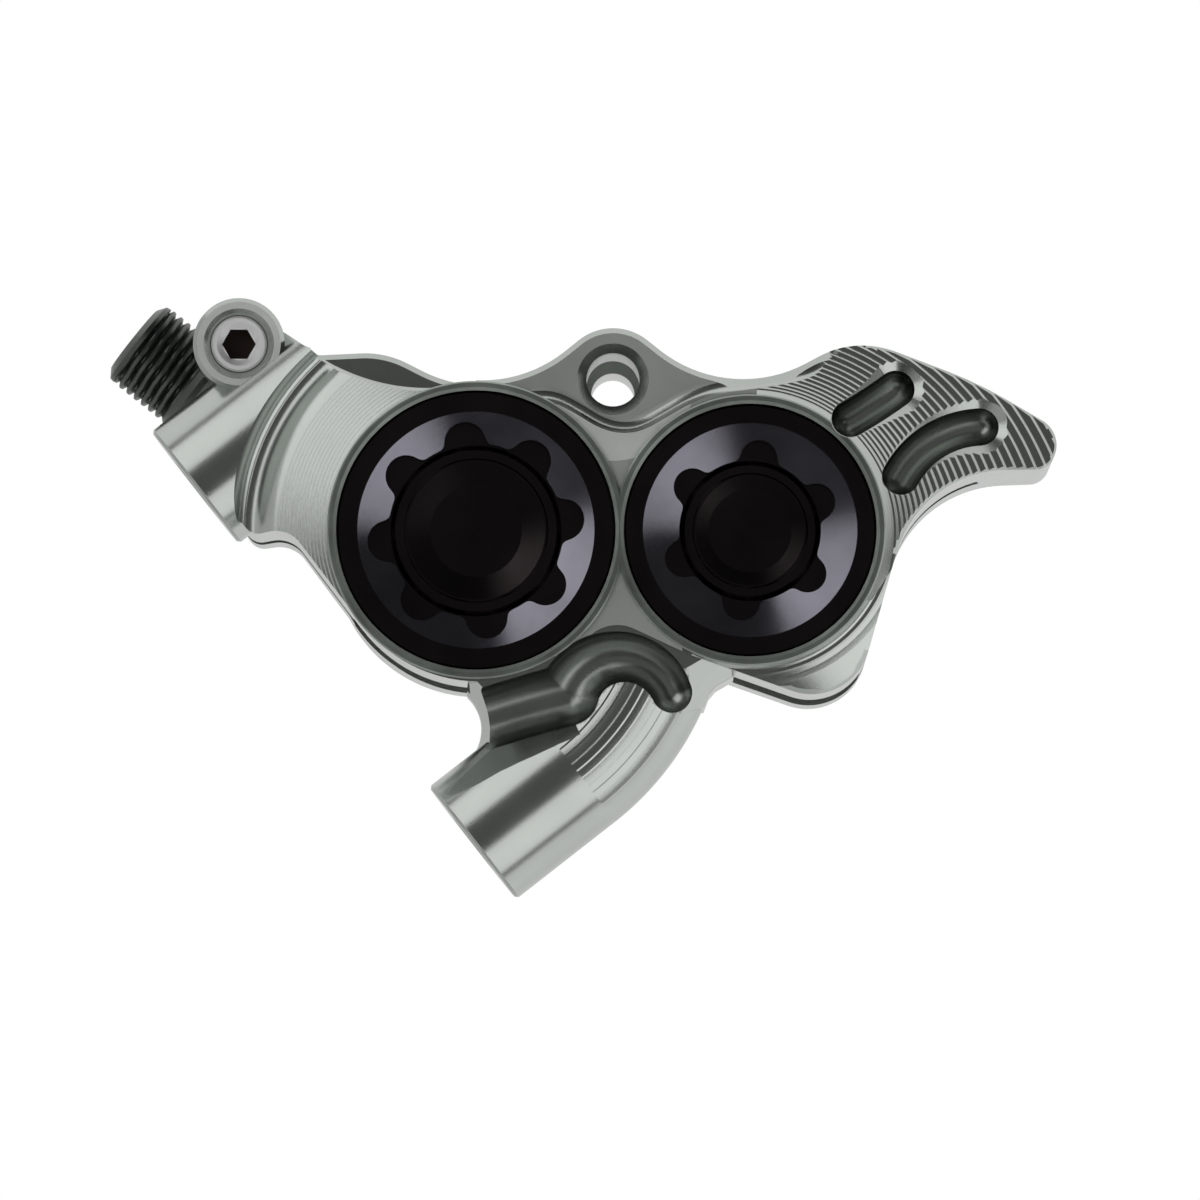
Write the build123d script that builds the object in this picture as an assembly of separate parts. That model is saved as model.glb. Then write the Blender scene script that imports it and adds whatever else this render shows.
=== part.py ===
from build123d import *
from math import cos, radians, sin
import os

# Four-piston disc brake caliper for a flat-mount frame, machined from one block of aluminium.
# It is drawn in its own axes and stood on its mounting face at the end.
# X runs along the line of the bores towards the finned end, Y towards the opening where
# the pads go in, and Z outboard, away from the wheel. Z is zero on the plane of the disc.

# Driving dimensions, in millimetres and degrees
large_piston_diameter = 17.0
small_piston_diameter = 15.0
piston_travel = 3.0
cap_shoulder = 2.0
cap_thickness = 2.35
bore_wall = 0.6
pad_gap = 10.4
disc_diameter = 140.0
disc_drop = 61.5
disc_groove_width = 3.6
inboard_floor = 3.0
bore_boss_rise = 4.0
mount_spacing = 34.0
mount_boss_diameter = 10.7
mount_height = 12.4
mount_tilt = 52.0
mount_reach = 22.7
mount_shift = 5.1
mount_thread_diameter = 5.0
mount_thread_depth = 12.0
pin_rise = 11.4
pin_boss_diameter = 8.3
pin_hole_diameter = 4.0
pin_thread_diameter = 3.3
pin_hole_lead = 0.7
bleed_boss_diameter = 6.9
hose_thread_diameter = 7.1
hose_thread_length = 5.6
hose_height = 3.4
hose_tilt = 38.6

# Small sizes shared by several pieces
rim_wall = 0.7
running_clearance = 0.03
seal_clearance = 0.02
thread_clearance = 0.05
edge_break = 0.3
overrun = 30.0
merge = 0.6

# Seats and seals of the four pistons and the two caps
seal_width = 2.2
seal_depth = 1.45
seal_inset = 3.0
piston_set_back = 0.1
piston_tail = 1.0
piston_room = 0.7
piston_wall = 1.6
piston_floor = 1.8
piston_flange = 1.0
piston_lip = 0.3
piston_edge = 0.5
cap_shelf = 1.0
cap_set_back = 0.45
cap_spigot_step = 0.75
cap_seal_section = 0.9
disc_clearance = 1.6

# The bleed screw and the hose connector
bleed_set_back = 0.3
bleed_mouth_depth = 0.5
bleed_head_diameter = 4.2
bleed_head_height = 1.4
bleed_shank_diameter = 3.0
bleed_shank_length = 5.0
bleed_seal_section = 0.7
bleed_key_size = 2.2
hose_collar_diameter = 8.0
hose_collar_height = 1.1
hose_spigot_diameter = 5.8
hose_spigot_length = 5.0
hose_bore_diameter = 2.6
hose_seal_section = 0.6

# How far the body's levels lie below the outboard face, or above the inboard one
base_drop = 7.2
web_drop = 6.6
top_ledge_drop = 8.4
slot_floor_drop = 6.8
hollow_drop = 3.6
pin_boss_drop = 1.5
pin_land_drop = 0.3
pin_back_rise = 2.0
bleed_boss_drop = 1.6
bleed_foot_drop = 9.8
fin_relief_share = 0.93
fin_relief_rise = 4.2
hose_relief_share = -0.98
hose_relief_rise = 9.6

# Sizes across the bores, worked out from the pistons
large_cap_diameter = large_piston_diameter + 2 * cap_shoulder
small_cap_diameter = small_piston_diameter + 2 * cap_shoulder
bore_spacing = (large_cap_diameter + small_cap_diameter) / 2 + bore_wall
large_x = -bore_spacing / 2
small_x = bore_spacing / 2
large_rim = large_cap_diameter / 2 + rim_wall
small_rim = small_cap_diameter / 2 + rim_wall
large_bore = large_piston_diameter / 2 + running_clearance
small_bore = small_piston_diameter / 2 + running_clearance

# Levels above the plane of the disc: a piston stays in its seal to the end of its travel
seal_level = pad_gap / 2 + seal_inset
piston_face_level = pad_gap / 2 + piston_set_back
piston_back_level = seal_level + seal_width / 2 + piston_travel + piston_tail
piston_length = piston_back_level - piston_face_level
piston_room_level = piston_back_level + piston_room
cap_seat_level = piston_room_level + cap_shelf
outboard_height = cap_seat_level + cap_thickness + cap_set_back
inboard_height = piston_room_level + inboard_floor
back_height = inboard_height - bore_boss_rise
base_level = outboard_height - base_drop
pin_boss_level = outboard_height - pin_boss_drop
pin_boss_back = inboard_height - pin_back_rise
bleed_boss_level = outboard_height - bleed_boss_drop

# Where the mount bosses and the hose connector stand and point
boss_radius = mount_boss_diameter / 2
along_face = Vector(cos(radians(mount_tilt)), -sin(radians(mount_tilt)), 0)
off_face = Vector(sin(radians(mount_tilt)), cos(radians(mount_tilt)), 0)
mount_middle = off_face * -mount_reach - along_face * mount_shift
hose_run = Vector(cos(radians(hose_tilt)), -sin(radians(hose_tilt)), 0)

# The socket in each cap: its lobes, the turn of the first one, and the radii of the land,
# of the lobes' tips and of the centre disc as shares of the cap's radius
large_cap_lobes = 8
large_cap_turn = 7
large_cap_shares = (0.627, 0.784, 0.52)
small_cap_lobes = 6
small_cap_turn = 23
small_cap_shares = (0.563, 0.722, 0.46)

# The front outline: X, Y and corner radius of each corner as shares of the bore spacing,
# clockwise from the corner under the hose connector
outline_shares = (
    (-1.617, 0.398, 0.060),
    (-1.291, 0.796, 0.060),
    (-1.107, 0.660, 0.121),
    (-0.835, 0.673, 0.340),
    (-0.419, 0.461, 0.485),
    (0.000, 0.798, 0.200),
    (0.422, 0.460, 0.485),
    (0.888, 0.716, 0.340),
    (1.335, 0.549, 1.456),
    (1.646, 0.369, 0.102),
    (1.597, 0.233, 0.073),
    (1.121, 0.223, 0.437),
    (0.869, -0.660, 0.218),
    (0.272, -0.451, 0.291),
    (-0.010, -0.320, 0.146),
    (-0.272, -0.553, 0.388),
    (-0.757, -0.553, 0.544),
    (-1.184, 0.010, 0.112),
    (-1.320, -0.015, 0.060),
)
bleed_share = (-1.366, 0.684)
hose_seat_share = (-1.508, 0.533)


def at_share(share):
    """A point in the front view, from its shares of the bore spacing."""
    return Vector(share[0] * bore_spacing, share[1] * bore_spacing, 0)


def prism(face, low, high):
    """A face in the front view, pushed from one height to another."""
    return Pos(0, 0, low) * extrude(face, high - low)


def disc(x, y, radius, low, high):
    """A round slab or a round hole between two heights."""
    return Pos(x, y, (low + high) / 2) * Cylinder(radius, high - low)


def ring(x, y, outer, inner, low, high):
    """A round slab with a hole through it."""
    return disc(x, y, outer, low, high) - disc(x, y, inner, low, high)


def cone(x, y, low_radius, high_radius, low, high):
    """A tapered round slab between two heights."""
    return Pos(x, y, (low + high) / 2) * Cone(low_radius, high_radius, high - low)


def bar(start, direction, radius, length):
    """A round bar, or a drilled hole, that starts at a point and runs along a direction."""
    return Plane(start, z_dir=direction) * Pos(0, 0, length / 2) * Cylinder(radius, length)


def raised(point, height):
    """A point of the front view, lifted to a height."""
    return point + Vector(0, 0, height)


def block(outline):
    """The solid block that carries everything, with its back edges broken."""
    back_break = 0.7
    slab = prism(outline, -back_height, base_level)
    back_edges = slab.faces().sort_by(Axis.Z)[0].edges()
    slab = chamfer(back_edges, back_break)
    slab += disc(large_x, 0, large_rim, -inboard_height, -back_height + merge)
    slab += disc(small_x, 0, small_rim, -inboard_height, -back_height + merge)
    slab += disc(0, pin_rise, pin_boss_diameter / 2, -pin_boss_back, -back_height + back_break)
    return slab


def rims():
    """The two raised rims that the caps sit in."""
    face = Pos(large_x, 0, 0) * Circle(large_rim) + Pos(small_x, 0, 0) * Circle(small_rim)
    return prism(face, base_level - merge, outboard_height)


def land():
    """The land between the rims, and the cove that leads down from it round the pad pin's hole."""
    bottom_share = -0.26
    cove_start = 2.75
    step_reach = 5.9
    cove_radius = pin_boss_drop - pin_land_drop
    step_level = outboard_height - pin_land_drop
    high = outboard_height + merge
    cove = CenterArc((cove_start, step_level), cove_radius, -90, 90)
    rest = Polyline(
        cove @ 1, (step_reach, step_level), (step_reach, high), (0, high), (0, pin_boss_level), cove @ 0
    )
    cleared = revolve(Plane.XZ * make_face(cove + rest), axis=Axis.Z)
    top = pin_rise - cove_start
    bottom = bottom_share * bore_spacing
    face = Pos(0, (top + bottom) / 2, 0) * Rectangle(bore_spacing / 2, top - bottom)
    return prism(face, base_level - merge, outboard_height) - Pos(0, pin_rise, 0) * cleared


def pin_plateau(outline):
    """The level ground that the pad pin's hole opens on, between the two rims."""
    middle = Pos(0, overrun / 2, 0) * Rectangle(bore_spacing, overrun)
    return prism(outline & middle, base_level - merge, pin_boss_level)


def flanks(outline):
    """Cones that carry each rim down to the block's face."""
    large_foot = 4.6
    small_foot = 2.4
    large_cone = cone(
        large_x, 0, large_rim + large_foot, large_rim, base_level - merge, outboard_height - edge_break
    )
    small_cone = cone(
        small_x, 0, small_rim + small_foot, small_rim, base_level - merge, outboard_height - edge_break
    )
    tall = prism(outline, base_level - merge, outboard_height)
    return (large_cone + small_cone) & tall


def terraces(outline):
    """Round steps that fall from the small bore's rim, wider and lower towards the tip."""
    count = 14
    pitch = 0.54
    growth_share = 0.13
    drop = base_drop / (count + 2)
    lean_across_share = 0.12
    lean_down_share = 0.27
    fin_side = Pos(small_x + overrun, 0, 0) * Rectangle(2 * overrun, 2 * overrun)
    fin_outline = outline & fin_side
    spread = pitch
    level = outboard_height - drop
    steps = []
    for step in range(count):
        edge = Circle(small_rim + spread)
        lean = Pos(small_x + lean_across_share * spread, -lean_down_share * spread, 0)
        steps.append(prism(fin_outline & (lean * edge), base_level - merge, level))
        spread += pitch * (1 + growth_share * step)
        level -= drop
    return steps


def fin_slots():
    """Two pockets between the fins, milled with a ball-ended cutter."""
    width = 2.85
    round_share = 0.48
    floor_level = outboard_height - slot_floor_drop
    slot_shares = (
        ((0.853, 0.400), (0.952, 0.464), (1.044, 0.529)),
        ((1.042, 0.185), (1.160, 0.325), (1.350, 0.388)),
    )
    pockets = []
    for shares in slot_shares:
        path = ThreePointArc(*[at_share(share) for share in shares])
        pocket = prism(SlotArc(path, width), floor_level, floor_level + overrun)
        floor_edges = pocket.faces().sort_by(Axis.Z)[0].edges()
        pockets.append(fillet(floor_edges, round_share * width))
    return pockets


def mount_point(side):
    """The centre of a mount boss's end face: side is -1 for the upper boss and 1 for the lower."""
    return mount_middle + along_face * (side * mount_spacing / 2)


def upper_mount(outline):
    """The upper mount boss, a half-round ridge that runs to the block's top edge."""
    free_length = 9.0
    ridge_length = 17.0
    start = raised(mount_point(-1), mount_height)
    free_end = bar(start, off_face, boss_radius, free_length)
    ridge = bar(start, off_face, boss_radius, ridge_length)
    return free_end + (ridge & prism(outline, -back_height, outboard_height))


def lower_mount():
    """The lower mount boss: a straight tube, then a knee that turns up between the bores."""
    straight_length = 9.4
    knee_radius = 16.9
    knee_turn = 34.0
    start = raised(mount_point(1), mount_height)
    tube = bar(start, off_face, boss_radius, straight_length)
    knee_start = start + off_face * straight_length
    turn_centre = knee_start - along_face * knee_radius
    section = Plane(knee_start, x_dir=along_face, z_dir=off_face) * Circle(boss_radius)
    knee = revolve(section, axis=Axis(turn_centre, (0, 0, 1)), revolution_arc=knee_turn)
    return tube + knee


def web():
    """The thin web between the lower boss and the large bore, with its round scallop."""
    corner_shares = (
        (-0.530, -0.500),
        (-0.575, -0.850),
        (-0.150, -0.720),
        (0.320, -0.590),
        (0.270, -0.400),
        (0.000, -0.280),
    )
    scallop_share = (-0.626, -0.680)
    scallop_radius = 3.0
    face = make_face(Polyline(*[at_share(share) for share in corner_shares], close=True))
    plate = prism(face, pad_gap / 2, outboard_height - web_drop)
    scallop = at_share(scallop_share)
    return plate - disc(scallop.X, scallop.Y, scallop_radius, -overrun, overrun)


def hollow():
    """The groove that a ball-ended cutter leaves between the rims and the knee."""
    cutter_radius = 3.2
    level = outboard_height - hollow_drop
    path_shares = ((-0.430, -0.660), (-0.060, -0.500), (0.280, -0.560))
    start, middle, end = [raised(at_share(share), level) for share in path_shares]
    path = ThreePointArc(start, middle, end)
    groove = sweep(Plane(path @ 0, z_dir=path % 0) * Circle(cutter_radius), path=path)
    groove += Pos(path @ 0) * Sphere(cutter_radius)
    groove += Pos(path @ 1) * Sphere(cutter_radius)
    return groove


def bleed_boss():
    """The flat round boss that holds the bleed screw."""
    place = at_share(bleed_share)
    foot = outboard_height - bleed_foot_drop
    return disc(place.X, place.Y, bleed_boss_diameter / 2, foot, bleed_boss_level)


def top_ledge():
    """What is milled off behind the front face's upper left edge."""
    edge_shares = ((-1.104, 0.662), (-0.820, 0.534), (-0.500, 0.540))
    start, middle, end = [at_share(share) for share in edge_shares]
    edge = ThreePointArc(start, middle, end)
    back = Polyline(end, end + Vector(0, overrun, 0), start + Vector(0, overrun, 0), start)
    return prism(make_face(edge + back), outboard_height - top_ledge_drop, outboard_height + overrun)


def bore_spaces(x, cap_diameter, bore_radius):
    """Everything turned out of one pair of bores, from the outboard face inwards."""
    cap_radius = cap_diameter / 2
    spaces = [disc(x, 0, cap_radius, cap_seat_level, outboard_height + merge)]
    spaces.append(disc(x, 0, cap_radius - cap_spigot_step, piston_room_level, cap_seat_level + merge))
    spaces.append(disc(x, 0, bore_radius, -piston_room_level, piston_room_level + merge))
    for side in (-1, 1):
        low = side * seal_level - seal_width / 2 - seal_clearance
        high = side * seal_level + seal_width / 2 + seal_clearance
        spaces.append(disc(x, 0, bore_radius + seal_depth, low, high))
    lip_low = outboard_height - edge_break
    spaces.append(cone(x, 0, cap_radius, cap_radius + edge_break, lip_low, outboard_height))
    return spaces


def wheel_gap():
    """The gap for the pads, open at the top and bottom, and the groove for the disc."""
    side_wall = 0.8
    throat_share = 0.75
    throat_start_share = 0.42
    left = large_x - large_bore - side_wall
    right = small_x + small_bore + side_wall
    throat_y = throat_start_share * bore_spacing
    room = Pos((left + right) / 2, throat_y - overrun / 2, 0) * Box(right - left, overrun, pad_gap)
    throat = Pos(0, throat_y, 0) * Box(2 * throat_share * bore_spacing, overrun, pad_gap)
    groove_radius = disc_diameter / 2 + disc_clearance
    groove = disc(0, -disc_drop, groove_radius, -disc_groove_width / 2, disc_groove_width / 2)
    return [room, throat, groove]


def end_relief(start_share, rise):
    """A slope that thins the back of one end, from a place along X to that end's tip."""
    ends = [share[0] for share in outline_shares]
    tip_share = max(ends) if start_share > 0 else min(ends)
    profile = Polyline(
        (start_share * bore_spacing, -back_height),
        (tip_share * bore_spacing, -back_height + rise),
        (tip_share * bore_spacing, -back_height - overrun),
        (start_share * bore_spacing, -back_height - overrun),
        close=True,
    )
    return extrude(Plane.XZ * make_face(profile), overrun, both=True)


def mount_threads():
    """The tapped holes of the mount bosses, drawn at the minor diameter of their threads."""
    minor_share = 0.84
    radius = mount_thread_diameter * minor_share / 2
    holes = []
    for side in (-1, 1):
        start = raised(mount_point(side), mount_height) - off_face * merge
        holes.append(bar(start, off_face, radius, mount_thread_depth + merge))
    return holes


def pin_hole():
    """The pad pin's hole: wide in the outboard half, tapped in the inboard half."""
    radius = pin_hole_diameter / 2
    mouth = pin_hole_lead
    spaces = [disc(0, pin_rise, radius, 0, pin_boss_level + merge)]
    spaces.append(disc(0, pin_rise, pin_thread_diameter / 2, -pin_boss_back - merge, merge))
    spaces.append(cone(0, pin_rise, radius, radius + mouth, pin_boss_level - mouth, pin_boss_level))
    return spaces


def bleed_hole():
    """The stepped hole of the bleed screw, with a countersunk mouth."""
    place = at_share(bleed_share)
    head = bleed_head_diameter / 2 + thread_clearance
    shank = bleed_shank_diameter / 2 + thread_clearance
    floor = bleed_boss_level - bleed_set_back - bleed_head_height - bleed_seal_section
    spaces = [disc(place.X, place.Y, head, floor, bleed_boss_level + merge)]
    spaces.append(disc(place.X, place.Y, shank, floor - bleed_shank_length, floor + merge))
    mouth_low = bleed_boss_level - bleed_mouth_depth
    spaces.append(cone(place.X, place.Y, head, head + bleed_mouth_depth, mouth_low, bleed_boss_level))
    return spaces


def hose_hole():
    """The threaded hole of the hose connector, its seal's recess and the oil passage."""
    seat = raised(at_share(hose_seat_share), hose_height)
    spigot = hose_spigot_diameter / 2 + thread_clearance
    passage_length = 9.0
    spaces = [bar(seat - hose_run * merge, hose_run, spigot, merge + hose_spigot_length + merge)]
    recess = spigot + hose_seal_section
    spaces.append(bar(seat - hose_run * merge, hose_run, recess, merge + hose_seal_section))
    spaces.append(bar(seat, hose_run, hose_bore_diameter / 2, passage_length))
    return spaces


def body(outline):
    """The one-piece body, milled and drilled from the solid block."""
    solid = block(outline) + flanks(outline)
    for step in terraces(outline):
        solid += step
    mounts = [upper_mount(outline), lower_mount(), web()]
    for part in mounts + [pin_plateau(outline), bleed_boss(), land(), rims()]:
        solid += part
    cuts = [top_ledge(), hollow()]
    cuts += fin_slots()
    cuts += [end_relief(fin_relief_share, fin_relief_rise), end_relief(hose_relief_share, hose_relief_rise)]
    cuts += wheel_gap() + mount_threads() + pin_hole() + bleed_hole() + hose_hole()
    cuts += bore_spaces(large_x, large_cap_diameter, large_bore)
    cuts += bore_spaces(small_x, small_cap_diameter, small_bore)
    for cut in cuts:
        solid -= cut
    return solid


def bore_cap(x, diameter, lobes, turn, face_shares):
    """A threaded cap: a dished face, a moat with round lobes for the socket, and a low centre disc."""
    land_share, lobe_share, disc_share = face_shares
    radius = diameter / 2
    lobe_size_share = 0.15
    flat_share = 0.84
    dish_depth = 0.5
    moat_depth = 1.7
    step_share = 0.12
    step_depth = 0.25
    corner_share = 0.05
    top = outboard_height - cap_set_back
    spigot = radius - cap_spigot_step - cap_seal_section - thread_clearance
    cap = disc(x, 0, radius - thread_clearance, cap_seat_level, top)
    cap += disc(x, 0, spigot, cap_seat_level - cap_seal_section, cap_seat_level + merge)
    cap -= cone(x, 0, land_share * radius, flat_share * radius, top - dish_depth, top)
    moat = Circle(land_share * radius)
    lobe = Circle(lobe_size_share * radius)
    for place in PolarLocations((lobe_share - lobe_size_share) * radius, lobes, start_angle=turn):
        moat += place * lobe
    moat = fillet(moat.vertices(), corner_share * radius)
    step = (disc_share + step_share) * radius
    cap -= prism(Pos(x, 0, 0) * moat, top - moat_depth, top) - disc(x, 0, step, 0, top)
    cap -= ring(x, 0, step + merge, disc_share * radius, top - dish_depth - step_depth, top)
    return cap


def cap_seal(x, diameter):
    """The rubber ring under a cap's head, its round section drawn with flat sides."""
    section = cap_seal_section / 2 - seal_clearance
    middle = diameter / 2 - cap_spigot_step - cap_seal_section / 2
    sides = 8
    profile = Pos(middle, cap_seat_level - cap_seal_section / 2, 0) * RegularPolygon(section, sides)
    return Pos(x, 0, 0) * revolve(Plane.XZ * profile, axis=Axis.Z)


def piston(x, diameter, side):
    """The metal cup of a piston, open towards the pads."""
    radius = diameter / 2
    cup = disc(0, 0, radius, piston_flange, piston_length)
    cup -= disc(0, 0, radius - piston_wall, 0, piston_length - piston_floor)
    back_rim = cup.faces().sort_by(Axis.Z)[-1].edges()
    cup = chamfer(back_rim, piston_edge)
    return piston_place(x, side) * cup


def piston_insulator(x, diameter, side):
    """The heat insulator pressed into a piston's cup, which pushes on the pad."""
    radius = diameter / 2
    plug_length = 4.0
    hole_share = 0.36
    plug = disc(0, 0, radius - piston_lip, 0, piston_flange)
    plug += disc(0, 0, radius - piston_wall - seal_clearance, 0, piston_flange + plug_length)
    plug -= disc(0, 0, hole_share * radius, 0, piston_length)
    return piston_place(x, side) * plug


def piston_place(x, side):
    """Where a piston sits: side is 1 for the outboard half and -1 for the inboard half."""
    return Pos(x, 0, side * piston_face_level) * Rot(0 if side > 0 else 180, 0, 0)


def piston_seal(x, diameter, side):
    """The square seal round a piston, which also draws it back."""
    radius = diameter / 2
    low = side * seal_level - seal_width / 2
    high = side * seal_level + seal_width / 2
    return ring(x, 0, radius + seal_depth, radius + seal_clearance, low, high)


def bleed_screw():
    """The bleed screw, with a hexagon socket in its head."""
    place = at_share(bleed_share)
    top = bleed_boss_level - bleed_set_back
    under_head = top - bleed_head_height
    foot = under_head - bleed_seal_section - bleed_shank_length + merge
    socket_depth = 2.2
    lead = 0.45
    screw = disc(place.X, place.Y, bleed_head_diameter / 2, under_head, top)
    screw += disc(place.X, place.Y, bleed_shank_diameter / 2, foot, under_head + merge)
    key = Pos(place.X, place.Y, 0) * RegularPolygon(bleed_key_size / 2, 6, major_radius=False, rotation=30)
    screw -= prism(key, top - socket_depth, top + merge)
    screw -= cone(place.X, place.Y, bleed_key_size / 2, bleed_key_size / 2 + lead, top - lead, top)
    return screw


def bleed_seal():
    """The small ring under the bleed screw's head."""
    place = at_share(bleed_share)
    top = bleed_boss_level - bleed_set_back - bleed_head_height
    outer = bleed_head_diameter / 2
    inner = bleed_shank_diameter / 2 + seal_clearance
    return ring(place.X, place.Y, outer, inner, top - bleed_seal_section + seal_clearance, top)


def hose_connector():
    """The male connector that the hose's nut screws on to, with a cone for its olive."""
    seat = raised(at_share(hose_seat_share), hose_height)
    length = hose_collar_height + hose_thread_length
    out = hose_run * -1
    radius = hose_thread_diameter / 2
    lead = 0.6
    mouth_depth = 1.6
    mouth_share = 0.66
    bore = hose_bore_diameter / 2
    barrel = bar(seat, out, radius, length)
    barrel = chamfer(barrel.edges().sort_by(Axis(seat, out))[-1], lead)
    collar = Plane(seat, z_dir=out) * Pos(0, 0, hose_collar_height / 2)
    connector = barrel + collar * Cone(hose_collar_diameter / 2, radius, hose_collar_height)
    connector += bar(seat + out * merge, hose_run, hose_spigot_diameter / 2, merge + hose_spigot_length)
    connector -= bar(seat + out * (length + merge), hose_run, bore, 2 * length + hose_spigot_length)
    mouth = Plane(seat + out * length, z_dir=out) * Pos(0, 0, -mouth_depth / 2)
    connector -= mouth * Cone(bore, mouth_share * radius, mouth_depth)
    return connector


def connector_seal():
    """The ring that seals the connector against the body."""
    seat = raised(at_share(hose_seat_share), hose_height)
    inner = hose_spigot_diameter / 2 + seal_clearance
    outer = hose_spigot_diameter / 2 + hose_seal_section
    thickness = hose_seal_section - seal_clearance
    return bar(seat, hose_run, outer, thickness) - bar(seat, hose_run, inner, thickness)


def stand(piece):
    """Turn a piece from the caliper's axes to its place on the mounting face."""
    origin = raised(mount_middle, mount_height)
    seat = Plane(origin, x_dir=along_face, z_dir=off_face)
    return seat.to_local_coords(piece)


def front_outline():
    """The outline of the block, seen from outboard."""
    corners = [at_share(share) for share in outline_shares]
    radii = [share[2] * bore_spacing for share in outline_shares]
    return make_face(FilletPolyline(*corners, radius=radii, close=True))


def all_pieces():
    """Every piece of the caliper by its name."""
    pieces = {"body": body(front_outline())}
    pieces["bore_cap_large"] = bore_cap(
        large_x, large_cap_diameter, large_cap_lobes, large_cap_turn, large_cap_shares
    )
    pieces["bore_cap_small"] = bore_cap(
        small_x, small_cap_diameter, small_cap_lobes, small_cap_turn, small_cap_shares
    )
    pieces["cap_seal_large"] = cap_seal(large_x, large_cap_diameter)
    pieces["cap_seal_small"] = cap_seal(small_x, small_cap_diameter)
    for size, x, diameter in (
        ("large", large_x, large_piston_diameter),
        ("small", small_x, small_piston_diameter),
    ):
        for half, side in (("outboard", 1), ("inboard", -1)):
            pieces[f"piston_{size}_{half}"] = piston(x, diameter, side)
            pieces[f"piston_insulator_{size}_{half}"] = piston_insulator(x, diameter, side)
            pieces[f"piston_seal_{size}_{half}"] = piston_seal(x, diameter, side)
    pieces["bleed_screw"] = bleed_screw()
    pieces["bleed_seal"] = bleed_seal()
    pieces["hose_connector"] = hose_connector()
    pieces["connector_seal"] = connector_seal()
    return pieces


os.makedirs("parts", exist_ok=True)
for name, piece in all_pieces().items():
    export_step(stand(piece), f"parts/{name}.step")
    print(name, len(piece.solids()), "solids", round(piece.volume), "cubic mm")
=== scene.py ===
import bpy
import bmesh
import numpy as np
from math import atan2, ceil, cos, degrees, pi, radians, sin, sqrt, tan
from mathutils import Matrix, Vector


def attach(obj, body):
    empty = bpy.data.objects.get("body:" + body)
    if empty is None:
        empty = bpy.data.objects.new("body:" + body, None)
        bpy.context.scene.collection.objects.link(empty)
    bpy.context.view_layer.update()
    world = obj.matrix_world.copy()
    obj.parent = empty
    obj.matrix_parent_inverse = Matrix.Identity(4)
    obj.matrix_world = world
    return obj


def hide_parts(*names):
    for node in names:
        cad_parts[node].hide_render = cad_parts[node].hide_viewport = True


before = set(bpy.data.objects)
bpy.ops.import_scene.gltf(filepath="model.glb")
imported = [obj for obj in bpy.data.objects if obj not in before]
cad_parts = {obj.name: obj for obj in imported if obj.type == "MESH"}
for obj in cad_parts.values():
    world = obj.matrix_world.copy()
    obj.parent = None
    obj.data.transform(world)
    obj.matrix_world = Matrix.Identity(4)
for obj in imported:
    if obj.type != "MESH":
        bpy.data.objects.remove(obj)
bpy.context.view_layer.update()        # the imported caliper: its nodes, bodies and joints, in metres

print("frame loaded:", len(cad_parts), "nodes")

# The caliper is drawn in its own axes, in millimetres: X along the row of bores, Y away from
# the disc's axle, Z outboard with zero on the plane of the disc. stand() puts it in the frame.
stance = {
    "tilt": 52.0,
    "reach": 22.7,
    "shift": 5.1,
    "height": 12.4,
    "mountSpacing": 34.0,
    "boreSpacing": 20.6,
}
alongFace = Vector((cos(radians(stance["tilt"])), -sin(radians(stance["tilt"])), 0))
offFace = Vector((sin(radians(stance["tilt"])), cos(radians(stance["tilt"])), 0))
largeX = -stance["boreSpacing"] / 2
smallX = stance["boreSpacing"] / 2
toFrame = Matrix.Scale(0.001, 4) @ Matrix((
    (alongFace.x, alongFace.y, 0, stance["shift"]),
    (0, 0, -1, stance["height"]),
    (offFace.x, offFace.y, 0, stance["reach"]),
    (0, 0, 0, 1),
))
past = 30.0       # how far a cutter runs past the metal
bite = 0.6        # how far joined shapes run into each other
hair = 0.001      # a step in level too small to see
near = 0.02       # how close two levels or slopes are when they count as one
cornersOf = {"disc": 720, "rim": 320, "tube": 256, "turned": 192, "hole": 128, "small": 96, "tapped": 72,
             "hexagon": 6}
endSteps = 28     # corners of the half circle at each end of a slot
ballSteps = 15    # rings of a ball's round
scene = bpy.context.scene


# Shapes in mesh code

def placed(name, data):
    obj = bpy.data.objects.new(name, data)
    scene.collection.objects.link(obj)
    return obj


def solid(name, rings):
    # closed body through rings of equal count, flat at both ends
    count = len(rings[0])
    verts = [tuple(point) for ring in rings for point in ring]
    faces = [tuple(reversed(range(count))), tuple(range(len(verts) - count, len(verts)))]
    for i in range(len(rings) - 1):
        for j in range(count):
            k = (j + 1) % count
            faces.append((i * count + j, i * count + k, (i + 1) * count + k, (i + 1) * count + j))
    mesh = bpy.data.meshes.new(name)
    mesh.from_pydata(verts, [], faces)
    made = bmesh.new()
    made.from_mesh(mesh)
    bmesh.ops.recalc_face_normals(made, faces=made.faces)
    made.to_mesh(mesh)
    made.free()
    return placed(name, mesh)


def raised(points, level):
    return [(p[0], p[1], level) for p in points]


def circle(x, y, radius, kind="turned"):
    turns = [2 * pi * i / cornersOf[kind] for i in range(cornersOf[kind])]
    return [(x + radius * cos(a), y + radius * sin(a)) for a in turns]


def inset(points, width):
    # the outline moved inwards by a width, for broken edges
    moved = []
    for i, point in enumerate(points):
        before, after = Vector(points[i - 1]), Vector(points[(i + 1) % len(points)])
        along = (after - before).normalized()
        moved.append((point[0] - along.y * width, point[1] + along.x * width))
    return moved


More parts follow.
